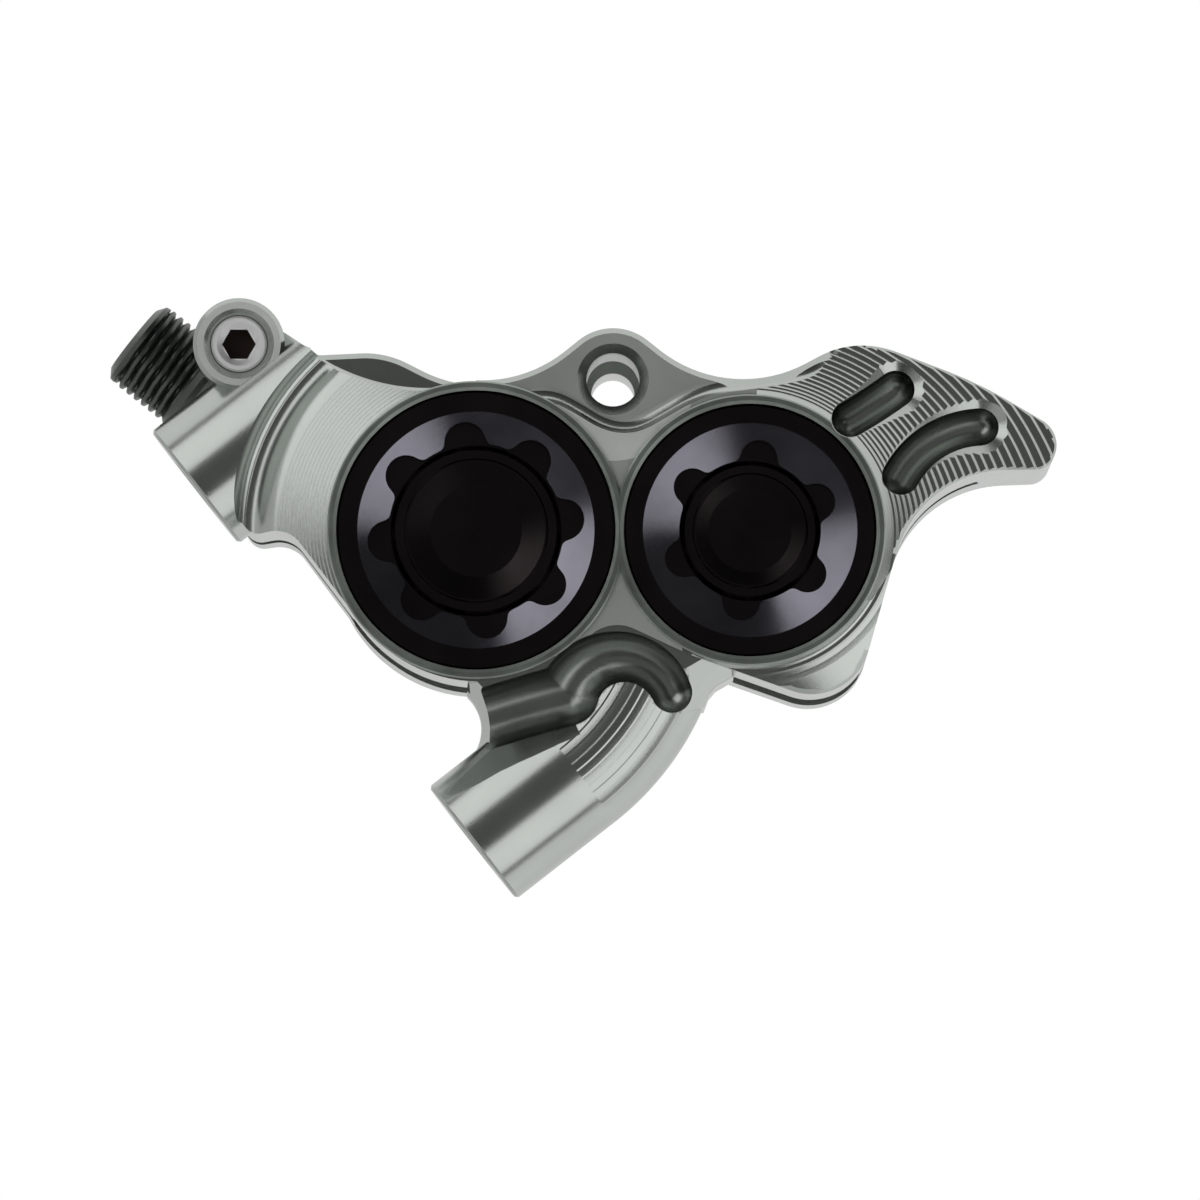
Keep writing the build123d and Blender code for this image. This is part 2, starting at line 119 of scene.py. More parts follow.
def slab(name, points, low, high, lowBreak=0, highBreak=0):
    rings = []
    if lowBreak:
        rings.append(raised(inset(points, lowBreak), low))
    rings.append(raised(points, low + lowBreak))
    rings.append(raised(points, high - highBreak))
    if highBreak:
        rings.append(raised(inset(points, highBreak), high))
    return solid(name, rings)


def turned(name, x, y, profile, kind="turned"):
    # profile: radius and level of each ring, from the low end to the high end
    return solid(name, [raised(circle(x, y, radius, kind), level) for radius, level in profile])


def drum(name, x, y, radius, low, high, kind="turned"):
    return turned(name, x, y, [(radius, low), (radius, high)], kind)


def laidAlong(obj, start, direction):
    # turn a shape that was made round Z so that it starts at a point and runs along a direction
    obj.data.transform(Matrix.Translation(start) @ direction.to_track_quat("Z", "Y").to_matrix().to_4x4())
    return obj


def bar(name, start, direction, radius, length, kind="hole"):
    return laidAlong(drum(name, 0, 0, radius, 0, length, kind), start, direction)


def roundedOutline(corners, turnStep=4.0):
    # corners with a radius each, joined by tangent arcs, anticlockwise
    points = []
    for i, (x, y, radius) in enumerate(corners):
        here = Vector((x, y))
        back = (Vector(corners[i - 1][:2]) - here).normalized()
        ahead = (Vector(corners[(i + 1) % len(corners)][:2]) - here).normalized()
        half = back.angle(ahead) / 2
        centre = here + (back + ahead).normalized() * radius / sin(half)
        start = here + back * radius / tan(half) - centre
        turn = (pi - 2 * half) * (1 if start.cross(-back) > 0 else -1)
        steps = max(2, ceil(degrees(abs(turn)) / turnStep))
        for k in range(steps + 1):
            a = turn * k / steps
            points.append((centre.x + start.x * cos(a) - start.y * sin(a),
                           centre.y + start.x * sin(a) + start.y * cos(a)))
    area = sum(points[i - 1][0] * points[i][1] - points[i][0] * points[i - 1][1] for i in range(len(points)))
    return points if area > 0 else points[::-1]


def arcThrough(a, b, c, steps=24):
    # points on the arc from a through b to c
    ax, ay = a
    bx, by = b
    cx, cy = c
    aa, bb, cc = ax * ax + ay * ay, bx * bx + by * by, cx * cx + cy * cy
    d = 2 * (ax * (by - cy) + bx * (cy - ay) + cx * (ay - by))
    ux = (aa * (by - cy) + bb * (cy - ay) + cc * (ay - by)) / d
    uy = (aa * (cx - bx) + bb * (ax - cx) + cc * (bx - ax)) / d
    radius = sqrt((ax - ux) ** 2 + (ay - uy) ** 2)
    first = atan2(ay - uy, ax - ux)
    turn = (atan2(cy - uy, cx - ux) - first) % (2 * pi)
    if (atan2(by - uy, bx - ux) - first) % (2 * pi) > turn:
        turn -= 2 * pi
    return [(ux + radius * cos(first + turn * k / steps), uy + radius * sin(first + turn * k / steps))
            for k in range(steps + 1)]


def wayAlong(path, i):
    # the direction of an open line at one of its points
    return (Vector(path[min(i + 1, len(path) - 1)]) - Vector(path[max(i - 1, 0)])).normalized()


def slotOutline(path, halves):
    # the outline that a cutter leaves along a path, with its half width at each point
    sides = [[], []]
    for i, point in enumerate(path):
        along = wayAlong(path, i)
        sides[0].append((point[0] + along.y * halves[i], point[1] - along.x * halves[i]))
        sides[1].append((point[0] - along.y * halves[i], point[1] + along.x * halves[i]))
    ends = []
    turns = [pi * k / endSteps for k in range(1, endSteps)]
    for at, side in ((-1, 0), (0, 1)):
        x, y = Vector(path[at])
        edge = Vector(sides[side][at]) - Vector(path[at])
        ends.append([(x + edge.x * cos(a) - edge.y * sin(a), y + edge.x * sin(a) + edge.y * cos(a))
                     for a in turns])
    return sides[0] + ends[0] + sides[1][::-1] + ends[1]


def roundSlot(values):
    # what holds at each point of a path, for each corner of the outline round it
    return values + [values[-1]] * (endSteps - 1) + values[::-1] + [values[0]] * (endSteps - 1)


def ballTrack(name, path, radii, level, top):
    # what a ball-ended cutter clears along a path, its ball growing or shrinking on the way
    count = len(path) - 1
    sizes = [radii[0] + (radii[1] - radii[0]) * i / count for i in range(count + 1)]
    depths = roundSlot(sizes)
    rings = []
    for k in range(1, ballSteps + 1):
        a = pi / 2 * k / ballSteps
        outline = slotOutline(path, [size * sin(a) for size in sizes])
        rings.append([(x, y, level - depth * cos(a)) for (x, y), depth in zip(outline, depths)])
    rings.append(raised(slotOutline(path, sizes), top))
    return solid(name, rings)


def merged(base, tool, how):
    # one exact mesh boolean, with the tool used up
    step = base.modifiers.new("step", "BOOLEAN")
    step.operation = how
    step.solver = "MANIFOLD"
    step.object = tool
    scene.view_layers[0].update()
    result = bpy.data.meshes.new_from_object(base.evaluated_get(bpy.context.evaluated_depsgraph_get()))
    base.modifiers.clear()
    old = base.data
    base.data = result
    bpy.data.meshes.remove(old)
    bpy.data.objects.remove(tool)
    return base


def add(base, *tools):
    for tool in tools:
        merged(base, tool, "UNION")
    return base


def cut(base, *tools):
    for tool in tools:
        merged(base, tool, "DIFFERENCE")
    return base


def keep(base, tool):
    return merged(base, tool, "INTERSECT")


def softened(points, rounds=3):
    # an open line with its corners cut again and again
    for _ in range(rounds):
        cutLine = [points[0]]
        for a, b in zip(points, points[1:]):
            cutLine += [(a[0] * 0.75 + b[0] * 0.25, a[1] * 0.75 + b[1] * 0.25),
                        (a[0] * 0.25 + b[0] * 0.75, a[1] * 0.25 + b[1] * 0.75)]
        points = cutLine + [points[-1]]
    return points


def edgeBreak(name, line, levelAt, width):
    # a wedge that breaks the edge along a line with the metal on its left, and runs past it by its width
    rings = []
    for i, point in enumerate(line):
        along = wayAlong(line, i)
        inward = Vector((-along.y, along.x))
        here, level = Vector(point), levelAt(point)
        out, into = here - inward * width, here + inward * (width + width)
        rings.append([(*out, level - width - width), (*into, level + width), (*out, level + width)])
    return solid(name, rings)


def levelOn(profile, reach):
    # the level of a profile, a list of reaches and levels, at one reach
    return float(np.interp(reach, [r for r, z in profile], [z for r, z in profile]))


def share(x, y):
    # a place given in shares of the bores' spacing
    return Vector((x * stance["boreSpacing"], y * stance["boreSpacing"], 0))


def sharePoints(places):
    return [tuple(share(*place)[:2]) for place in places]


def shareArc(places):
    # the arc through three places given in shares
    return arcThrough(*sharePoints(places))


def outlinePart(test):
    # the points of the front outline that pass a test, as one open line
    part = [p for p in frontOutline if test(p)]
    first = max(range(len(part)), key=lambda i: (Vector(part[i]) - Vector(part[i - 1])).length)
    return part[first:] + part[:first]


def mountPoint(side):
    # side is -1 for the upper mount boss and 1 for the lower one
    middle = offFace * -stance["reach"] - alongFace * stance["shift"]
    return middle + alongFace * side * stance["mountSpacing"] / 2 + Vector((0, 0, stance["height"]))


# The body

bodyCut = {
    "outboard": 17.8, "inboard": -17.0, "back": -13.0, "base": 10.6, "seatLevel": 15.0, "boreEnd": 14.0,
    "sealLevel": 8.2, "sealWidth": 2.24, "sealDepth": 1.45,
    "padGap": 10.4, "discDrop": 61.5, "discRadius": 71.6, "discGroove": 3.6,
    "backBreak": 0.7, "lipBreak": 0.25, "rimBreak": 0.12, "bossBreak": 0.5, "seatWidth": 0.75,
    "roomBeside": 0.8, "throatShare": 0.75, "throatTopShare": 0.42,
}
largeBore = {"x": largeX, "rim": 11.2, "seat": 10.5, "bore": 8.53}
smallBore = {"x": smallX, "rim": 10.2, "seat": 9.5, "bore": 7.53}
pinBack = {"radius": 4.15, "end": -15.0, "root": -12.0, "break": 0.4}
groundFoot = bodyCut["base"] - bite      # where the front's ground runs into the block
outlineShares = [
    (-1.617, 0.398, 0.060), (-1.291, 0.796, 0.060), (-1.107, 0.660, 0.121), (-0.835, 0.673, 0.340),
    (-0.419, 0.461, 0.485), (0.000, 0.798, 0.200), (0.422, 0.460, 0.485), (0.888, 0.716, 0.340),
    (1.335, 0.549, 1.456), (1.646, 0.369, 0.102), (1.597, 0.233, 0.073), (1.121, 0.223, 0.437),
    (0.869, -0.660, 0.218), (0.272, -0.451, 0.291), (-0.010, -0.320, 0.146), (-0.272, -0.553, 0.388),
    (-0.757, -0.553, 0.544), (-1.184, 0.010, 0.112), (-1.320, -0.015, 0.060),
]
frontOutline = roundedOutline([tuple(v * stance["boreSpacing"] for v in corner) for corner in outlineShares])


def withinOutline(shape, low=groundFoot):
    return keep(shape, slab("side", frontOutline, low, past))


def blockShape():
    c = bodyCut
    block = slab("block", frontOutline, c["back"], c["base"], lowBreak=c["backBreak"])
    e, end = c["bossBreak"], c["inboard"]
    for b in (largeBore, smallBore):
        add(block, turned("backBoss", b["x"], 0, [(b["rim"] - e, end), (b["rim"], end + e), (b["rim"], 0)]))
    r, e, end = pinBack["radius"], pinBack["break"], pinBack["end"]
    profile = [(r - e, end), (r, end + e), (r, pinBack["root"])]
    return add(block, turned("pinBack", 0, pinPlace["rise"], profile))


# The ground left of the large rim: fine rings from a facing cutter that roll over into a cove
flank = {"start": 17.5, "lean": 15.5, "edge": 14.8, "steepest": 42.0, "roll": 1.1, "cove": 1.1, "floor": 0.15,
         "wall": 0.7, "wallLean": 72.0, "pitch": 0.27, "groove": 2.75, "ringShares": (0.66, 0.34),
         "curveSteps": 8, "wallSteps": 10, "under": 0.03, "rimWidth": 0.6, "rimRise": 2}


def flankProfile():
    # radius and level from the rim to the floor of the cove, followed as a slope that changes
    f = flank
    radius, level = largeBore["rim"], f["start"]
    profile = [(radius, level)]
    wide, narrow = f["ringShares"]
    while radius < f["edge"]:
        for run, lean in ((wide, f["lean"] - f["groove"]), (narrow, f["lean"] + 2 * f["groove"])):
            radius += run * f["pitch"]
            level -= run * f["pitch"] * tan(radians(lean))
            profile.append((radius, level))
    steps = f["curveSteps"]
    curves = ((f["roll"], f["lean"], f["steepest"]), (f["cove"], f["steepest"], 0), (f["floor"], 0, 0))
    for width, first, last in curves:
        for k in range(steps):
            radius += width / steps
            level -= width / steps * tan(radians(first + (last - first) * (k + 0.5) / steps))
            profile.append((radius, level))
    return profile


def flankLevel(point):
    return levelOn(flankProfile(), Vector((point[0] - largeX, point[1])).length)


def flankShape():
    profile = flankProfile()
    outer = [(profile[-1][0], groundFoot)]
    ground = turned("flank", largeX, 0, outer + profile[::-1], "rim")
    withinOutline(ground)
    half = [(largeX, 0), (largeX, past), (-past * 2, past), (-past * 2, -past), (largeX, -past)]
    return keep(ground, slab("flankSide", half, 0, past))


def flankSpace():
    # what the cutter clears over the ground, with the cove's outer wall in the upper ridge
    f = flank
    profile = flankProfile()
    radius, level = profile[-1]
    wall = []
    steps = f["wallSteps"]
    for k in range(steps):
        radius += f["wall"] / steps
        level += f["wall"] / steps * tan(radians(f["wallLean"] * (k + 0.5) / steps))
        wall.append((radius, level))
    low = [(r, z - f["under"]) for r, z in profile] + wall
    reach = radius + f["rimWidth"]
    return turned("flankSpace", largeX, 0, low + [(reach, level + f["rimRise"]), (reach, past)], "rim")


# The rings that fall from the small rim to the fins at the tip: equal steps down, treads that widen
fins = {"count": 25, "drop": 0.185, "riser": 0.2, "firstPitch": 0.33, "lastPitch": 0.8, "ledge": 0.35,
        "start": 0.3, "leanAcross": 0.12, "leanDown": 0.27, "from": (21.2, -2.5), "to": (19.44, -5.27),
        "left": -1, "low": 4.7, "edge": 0.16, "edgeFrom": 19.0, "searches": 6}


def finSide():
    left = smallX + fins["left"]
    corners = [(left, 0), (smallX + fins["low"], fins["to"][1]), fins["to"], fins["from"],
               (smallX + past, fins["from"][1]), (smallX + past, past), (left, past)]
    return slab("finSide", corners, 0, past)


def lobeSide():
    left = smallX - lobe["left"]
    corners = [(left, -past), (smallX + past, -past), (smallX + past, fins["from"][1]), fins["from"],
               fins["to"], (left, fins["to"][1])]
    return slab("lobeSide", corners, 0, past)


def finPlaces():
    # spread beyond the rim and level, from the rim outwards
    f = fins
    level = bodyCut["outboard"] - f["start"]
    places = [(0.0, level), (f["ledge"], level - f["ledge"])]
    spread, level = places[-1]
    for k in range(f["count"]):
        pitch = f["firstPitch"] + (f["lastPitch"] - f["firstPitch"]) * k / (f["count"] - 1)
        places.append((spread + f["riser"], level - f["drop"]))
        places.append((spread + pitch, level - f["drop"]))
        spread, level = places[-1]
    return places


def finSpread(point):
    # how far beyond the rim a point lies, found by search because the rings' middles shift
    spread = 0.0
    for _ in range(fins["searches"]):
        middle = Vector((smallX + fins["leanAcross"] * spread, -fins["leanDown"] * spread))
        spread = (Vector(point) - middle).length - smallBore["rim"]
    return spread


def finLevel(point):
    return levelOn(finPlaces(), finSpread(point))


def finCrest(point):
    # the level that the outer edges of the treads follow
    return levelOn(finPlaces()[1::2], finSpread(point))


def terraceShape():
    f = fins
    places = finPlaces()
    places.append((places[-1][0], groundFoot))
    rings = []
    for s, z in reversed(places):
        x, y = smallX + f["leanAcross"] * s, -f["leanDown"] * s
        rings.append(raised(circle(x, y, smallBore["rim"] + s, "rim"), z))
    ground = solid("terraces", rings)
    withinOutline(ground)
    keep(ground, finSide())
    edge = outlinePart(lambda p: p[0] > f["edgeFrom"] and p[1] > f["from"][1])
    return cut(ground, edgeBreak("tipEdge", edge, finLevel, f["edge"]))


# The lower lobe's own ground: a narrow cove at the rim, then a wide slope and a steeper edge
lobe = {"profile": ((10.15, 17.5), (10.45, 17.0), (10.6, 16.94), (10.85, 16.92), (11.0, 16.88), (11.3, 16.74),
                    (11.5, 16.7), (11.75, 16.64), (11.9, 16.57), (13.25, 15.86), (13.32, 15.78), (15.6, 13.9),
                    (19, 11.1)), "edge": 0.18, "left": 4.6, "edgeLeft": 4.5}


def lobeLevel(point):
    return levelOn(lobe["profile"], Vector((point[0] - smallX, point[1])).length)


def lobeShape():
    outer = [(lobe["profile"][-1][0], groundFoot)]
    ground = turned("lobe", smallX, 0, outer + list(lobe["profile"])[::-1], "rim")
    withinOutline(ground)
    keep(ground, lobeSide())
    edge = outlinePart(lambda p: p[0] > smallX - lobe["edgeLeft"] and p[1] < fins["to"][1])
    return cut(ground, edgeBreak("lobeEdge", edge, lobeLevel, lobe["edge"]))


slots = {
    "radius": 1.42, "bottom": 11.0, "edges": (0.08, 0.78), "edgeFall": 0.75, "edgeGrowth": 1.3, "lap": 0.01,
    "lift": 0.02,
    "paths": (((0.866, 0.409), (0.952, 0.464), (1.034, 0.523)),
              ((1.050, 0.199), (1.162, 0.325), (1.342, 0.387))),
}


def slotTracks():
    r = slots["radius"]
    return [(shareArc(path), (r, r), slots["bottom"] + r) for path in slots["paths"]]


def slotMouth(track, reach):
    # breaks the slot's edge along the crest of the fins, wider towards its outer end
    first, last = slots["edges"]
    count = len(track) - 1
    widths = [first + (last - first) * (i / count) ** slots["edgeGrowth"] for i in range(count + 1)]
    inner = slotOutline(track, [reach - slots["lap"]] * len(track))
    outer = slotOutline(track, [reach + width for width in widths])
    drops = [width * slots["edgeFall"] for width in roundSlot(widths)]
    foot = [(x, y, finCrest((x, y)) - drop) for (x, y), drop in zip(inner, drops)]
    crest = [(x, y, finCrest((x, y)) + slots["lift"]) for x, y in outer]
    return solid("slotMouth", [foot, crest, raised(outer, past)])


def slotCutters():
    tools = []
    for track, radii, level in slotTracks():
        tools.append(ballTrack("slot", track, radii, level, past))
        tools.append(slotMouth(track, slots["radius"]))
    return tools


# Both bosses that the caliper is bolted by
mounts = {"radius": 5.35, "freeLength": 9.0, "ridgeLength": 17.0, "tubeLength": 9.4, "kneeRadius": 16.9,
          "kneeTurn": 34.0, "kneeSteps": 34, "kneeLap": 0.02, "stepTurn": 7.5, "stepHeight": 0.035,
          "endBreak": 0.22, "threadRadius": 2.1, "threadDepth": 12.0, "threadHeight": 0.3, "threadPitch": 0.8,
          "mouth": ((0.9, -bite), (0.4, 0.0), (-0.1, 0.5))}


def mountTube(name, side, length):
    # a tube that stands on the mount face, the edge at its end broken
    r, e = mounts["radius"], mounts["endBreak"]
    tube = turned(name, 0, 0, [(r - e, 0), (r, e), (r, length)], "tube")
    return laidAlong(tube, mountPoint(side), offFace)


def upperMount():
    m = mounts
    start = mountPoint(-1) + offFace * m["endBreak"]
    ridge = bar("ridge", start, offFace, m["radius"], m["ridgeLength"], "tube")
    keep(ridge, slab("inside", frontOutline, bodyCut["back"], past))
    return add(mountTube("upperTube", -1, m["freeLength"]), ridge)


def lowerMount():
    # a tube that bends towards the small bore, with fine steps from the cutter on the bend
    m = mounts
    tube = mountTube("lowerTube", 1, m["tubeLength"])
    kneeStart = mountPoint(1) + offFace * (m["tubeLength"] - m["kneeLap"])
    centre = kneeStart - alongFace * m["kneeRadius"]
    rings = []
    for k in range(m["kneeSteps"] + 1):
        turn = Matrix.Rotation(radians(m["kneeTurn"] * k / m["kneeSteps"]), 4, Vector((0, 0, 1)))
        ring = []
        for i in range(cornersOf["tube"]):
            a = 2 * pi * i / cornersOf["tube"]
            radius = m["radius"] - m["stepHeight"] * (degrees(a) / m["stepTurn"] % 1)
            spot = alongFace * radius * cos(a) + Vector((0, 0, radius * sin(a)))
            ring.append(centre + turn @ (kneeStart - centre + spot))
        rings.append(ring)
    return add(tube, solid("knee", rings))


web = {
    "low": 5.2, "high": 11.2, "crest": 16.6, "break": 0.8,
    "corners": ((-0.530, -0.500), (-0.545, -0.840), (-0.150, -0.720), (0.320, -0.640), (0.360, -0.400),
                (0.0, -0.280)),
    "crestCorners": ((-0.530, -0.500), (-0.500, -0.820), (-0.440, -0.790), (-0.150, -0.700), (0.190, -0.665),
                     (0.262, -0.658), (0.333, -0.645), (0.350, -0.600), (0.375, -0.570), (0.440, -0.532),
                     (0.440, -0.400), (0.0, -0.280)),
    "slopeLine": ((3.0, -11.8), (9.9, -7.8)), "slopeReach": 6.0, "slopeFall": 0.3,
    "scallop": (-0.651, -0.713), "scallopRadius": 3.48, "scallopFlares": (1.1, 1.65),
    "flareLevels": (10.0, 15.5),
}
hollow = {"level": 15.5, "tracks": (((2.3, 2.35), ((-0.520, -0.705), (-0.330, -0.645), (-0.165, -0.600))),
                                    ((2.35, 1.55), ((-0.165, -0.600), (0.045, -0.463), (0.214, -0.590)))),
          "ridge": ((-3.2, -13.75), (-5.65, -14.88), (-7.72, -15.83), (-9.2, -16.55), (-13.8, -18.7)),
          "ridgeWidth": 1.8}


def webSlope():
    # the web's top falls away towards its lower right corner
    w = web
    along = (Vector(w["slopeLine"][1]) - Vector(w["slopeLine"][0])).normalized()
    reach = Vector((along.y, -along.x)) * w["slopeReach"]
    foot = w["crest"] - w["slopeFall"] * w["slopeReach"]
    rings = []
    for x, y in w["slopeLine"]:
        far = (x + reach.x, y + reach.y)
        rings.append([(x, y, w["crest"]), (*far, foot), (*far, past), (x, y, past)])
    return solid("webSlope", rings)


def webShape():
    w = web
    plate = slab("web", sharePoints(w["corners"]), w["low"], w["high"])
    crest = sharePoints(w["crestCorners"])
    add(plate, slab("crest", crest, w["low"] + bite, w["crest"], highBreak=w["break"]))
    spot, r = share(*w["scallop"]), w["scallopRadius"]
    low, high = w["flareLevels"]
    first, last = w["scallopFlares"]
    flare = [(r, -past), (r, low), (r + first, high), (r + last, past)]
    return cut(plate, turned("scallop", spot.x, spot.y, flare), webSlope())


def hollowTracks():
    return [(shareArc(path), radii, hollow["level"]) for radii, path in hollow["tracks"]]


def tubeLevel(point):
    # how high the lower tube stands beside the ridge
    away = (Vector(point) - mountPoint(1).xy).dot(alongFace.xy) + hollow["ridgeWidth"]
    return stance["height"] + sqrt(mounts["radius"] ** 2 - away ** 2)


def hollowCutters():
    tools = [ballTrack("hollow", track, radii, level, past) for track, radii, level in hollowTracks()]
    tools.append(edgeBreak("ridge", hollow["ridge"], tubeLevel, hollow["ridgeWidth"]))
    return tools


# The level ground round the pad pin's hole, its cove and the land between the rims
pinPlace = {
    "rise": 11.4, "level": 16.3, "landLevel": 17.5, "landFoot": -9.5, "landWidth": 5.2, "landStep": 0.06,
    "landReach": 6.2, "side": (-1, 0.5), "sideReach": 2.5, "sideStep": 0.05, "cove": 1.25, "coveSteps": 16,
    "fallFrom": 4.5, "fall": 0.0105, "farSide": 26, "edge": 0.4, "edgeTo": 16.4, "edgeAbove": 5,
    "hole": 2.0, "lead": 0.7, "thread": 1.65, "threadLevels": (-16, -4),
    "line": ((-8, 9.5), (-6.4, 9.6), (-4.6, 9.7), (-2.85, 8.79), (-1.13, 7.7), (0.43, 7.25), (2.15, 7.4),
             (4.05, 8.5), (5.98, 9.62), (7.88, 10.3), (10.2, 10.55), (12.46, 10.9), (15.0, 11.4),
             (16.4, 12.4), (17.1, 13.7), (17.7, 15.5), (18.2, 20)),
}


def pinGround():
    p = pinPlace
    strip = [(largeX, 0), (smallX, 0), (smallX, past), (largeX, past)]
    ground = slab("pinGround", frontOutline, groundFoot, p["level"], highBreak=p["edge"])
    keep(ground, slab("strip", strip, 0, past))
    width = p["landWidth"]
    face = [(-width, p["landFoot"]), (width, p["landFoot"]), (width, p["rise"]), (-width, p["rise"])]
    land = slab("land", face, groundFoot, p["landLevel"] - p["landStep"])
    add(land, drum("landTop", 0, p["rise"], p["landReach"], groundFoot, p["landLevel"], "tube"))
    withinOutline(land, 0)
    reach, top = smallBore["rim"] + p["sideReach"], p["landLevel"] - p["sideStep"]
    side = withinOutline(drum("rimSide", smallX, 0, reach, groundFoot, top, "rim"), 0)
    left, right = p["side"][0], smallX + p["side"][1]
    rimSide = [(left, 0), (right, 0), (right, past), (left, past)]
    return add(ground, land, keep(side, slab("strip", rimSide, 0, past)))


def plateauLevel(x):
    # level round the hole, then curving down to the right
    p = pinPlace
    return p["level"] - p["fall"] * max(0, x - p["fallFrom"]) ** 2


def pinPocket():
    # the pocket round the pin's hole: a cove along its line, then its floor
    p = pinPlace
    line = softened(p["line"])
    sections = []
    for i, point in enumerate(line):
        along = wayAlong(line, i)
        inward = Vector((-along.y, along.x)) * p["cove"]
        section = []
        for k in range(p["coveSteps"] + 1):
            a = pi / 2 * k / p["coveSteps"]
            spot = Vector(point) + inward * (1 - sin(a))
            section.append((spot.x, spot.y, plateauLevel(spot.x) + p["cove"] * (1 - cos(a))))
        x = (Vector(point) + inward).x
        section += [(*point, past), (x, p["farSide"], past), (x, p["farSide"], plateauLevel(x))]
        sections.append(section)
    return solid("pinPocket", sections)


def plateauEdge():
    # the broken edge of that floor
    p = pinPlace
    line = outlinePart(lambda q: p["line"][0][0] < q[0] < p["edgeTo"] and q[1] > p["edgeAbove"])
    return edgeBreak("plateauEdge", line, lambda q: plateauLevel(q[0]), p["edge"])


def rimShapes():
    e, top = bodyCut["rimBreak"], bodyCut["outboard"]
    rims = []
    for b in (largeBore, smallBore):
        profile = [(b["rim"], groundFoot), (b["rim"], top - e), (b["rim"] - e, top)]
        rims.append(turned("rim", b["x"], 0, profile, "rim"))
    return rims


bleed = {"place": (-1.366, 0.684), "boss": 3.45, "level": 16.2, "foot": 7.6, "head": 2.15, "mouth": 0.5,
         "shank": 1.55, "floor": 13.8, "depth": 5.0, "edge": 0.3}


def bleedBoss():
    spot = share(*bleed["place"])
    r, e, top = bleed["boss"], bleed["edge"], bleed["level"]
    return turned("bleedBoss", spot.x, spot.y, [(r, bleed["foot"]), (r, top - e), (r - e, top)])


ledge = {"line": ((-1.104, 0.662), (-0.820, 0.534), (-0.500, 0.540)), "level": 9.4, "frontEdge": 0.18,
         "backEdge": 0.4, "above": 5}


def topLedge():
    # what is milled off behind the front face's upper left edge
    edge = shareArc(ledge["line"])
    face = edge + [(edge[-1][0], past), (edge[0][0], past)]
    return slab("ledge", face, ledge["level"], past)


def ledgeEdges():
    # both edges of that ledge, broken: the front face's and the outline's behind it
    left, right = share(*ledge["line"][0]).x, share(*ledge["line"][2]).x
    behind = outlinePart(lambda p: left < p[0] < right and p[1] > ledge["above"])
    return [edgeBreak("frontEdge", shareArc(ledge["line"])[::-1], flankLevel, ledge["frontEdge"]),
            edgeBreak("ledgeEdge", behind, lambda p: ledge["level"], ledge["backEdge"])]


def boreCutters():
    c = bodyCut
    top, e = c["outboard"], c["lipBreak"]
    tools = []
    for b in (largeBore, smallBore):
        x, seat, bore = b["x"], b["seat"], b["bore"]
        lip = [(seat, c["seatLevel"]), (seat, top - e), (seat + e, top), (seat + e, past)]
        tools.append(turned("seat", x, 0, lip, "rim"))
        tools.append(drum("spigot", x, 0, seat - c["seatWidth"], c["boreEnd"], c["seatLevel"] + bite))
        tools.append(drum("bore", x, 0, bore, -c["boreEnd"], c["boreEnd"] + bite))
        for side in (-1, 1):
            low = side * c["sealLevel"] - c["sealWidth"] / 2
            tools.append(drum("sealGroove", x, 0, bore + c["sealDepth"], low, low + c["sealWidth"]))
    return tools


def boxAt(name, x0, x1, y0, y1, z0, z1):
    return slab(name, [(x0, y0), (x1, y0), (x1, y1), (x0, y1)], z0, z1)


def gapCutters():
    c = bodyCut
    half = c["padGap"] / 2
    left = largeX - largeBore["bore"] - c["roomBeside"]
    right = smallX + smallBore["bore"] + c["roomBeside"]
    throat, top = share(c["throatShare"], c["throatTopShare"]).xy
    groove = c["discGroove"] / 2
    return [
        boxAt("room", left, right, top - past, top, -half, half),
        boxAt("throat", -throat, throat, top - past / 2, top + past / 2, -half, half),
        drum("discGroove", 0, -c["discDrop"], c["discRadius"], -groove, groove, "disc"),
    ]


thinEnds = {"slopes": ((0.93, 1.646, 4.2), (-0.98, -1.617, 9.6)), "beyond": 0.2}


def endCutters():
    # slopes that thin the back of both ends, from one share to another, rising on the way
    tools = []
    for start, tip, rise in thinEnds["slopes"]:
        a, b = share(start, 0).x, share(tip, 0).x
        back = bodyCut["back"]
        beyond = b + (b - a) * thinEnds["beyond"]
        top = back + rise * (1 + thinEnds["beyond"])
        profile = [(a, back), (beyond, top), (beyond, back - past), (a, back - past)]
        rings = [[(x, y, z) for x, z in profile] for y in (-past, past)]
        tools.append(solid("relief", rings))
    return tools


threadShape = {"rows": 8, "flank": 1.6}


def threadedBar(name, start, direction, radius, depth, pitch, length, kind="tapped"):
    # a cylinder with a raised helical thread: the connector's own, or the tap that cuts one
    steps = cornersOf[kind]
    rows = int(length / pitch * threadShape["rows"])
    rings = []
    for j in range(rows + 1):
        h = length * j / rows
        fade = min(1.0, (length - h) / pitch)
        ring = []
        for i in range(steps):
            phase = (h / pitch - i / steps) % 1
            rise = depth * fade * min(1.0, threadShape["flank"] * abs(2 * phase - 1))
            a = 2 * pi * i / steps
            ring.append(((radius + rise) * cos(a), (radius + rise) * sin(a), h))
        rings.append(ring)
    return laidAlong(solid(name, rings), start, direction)


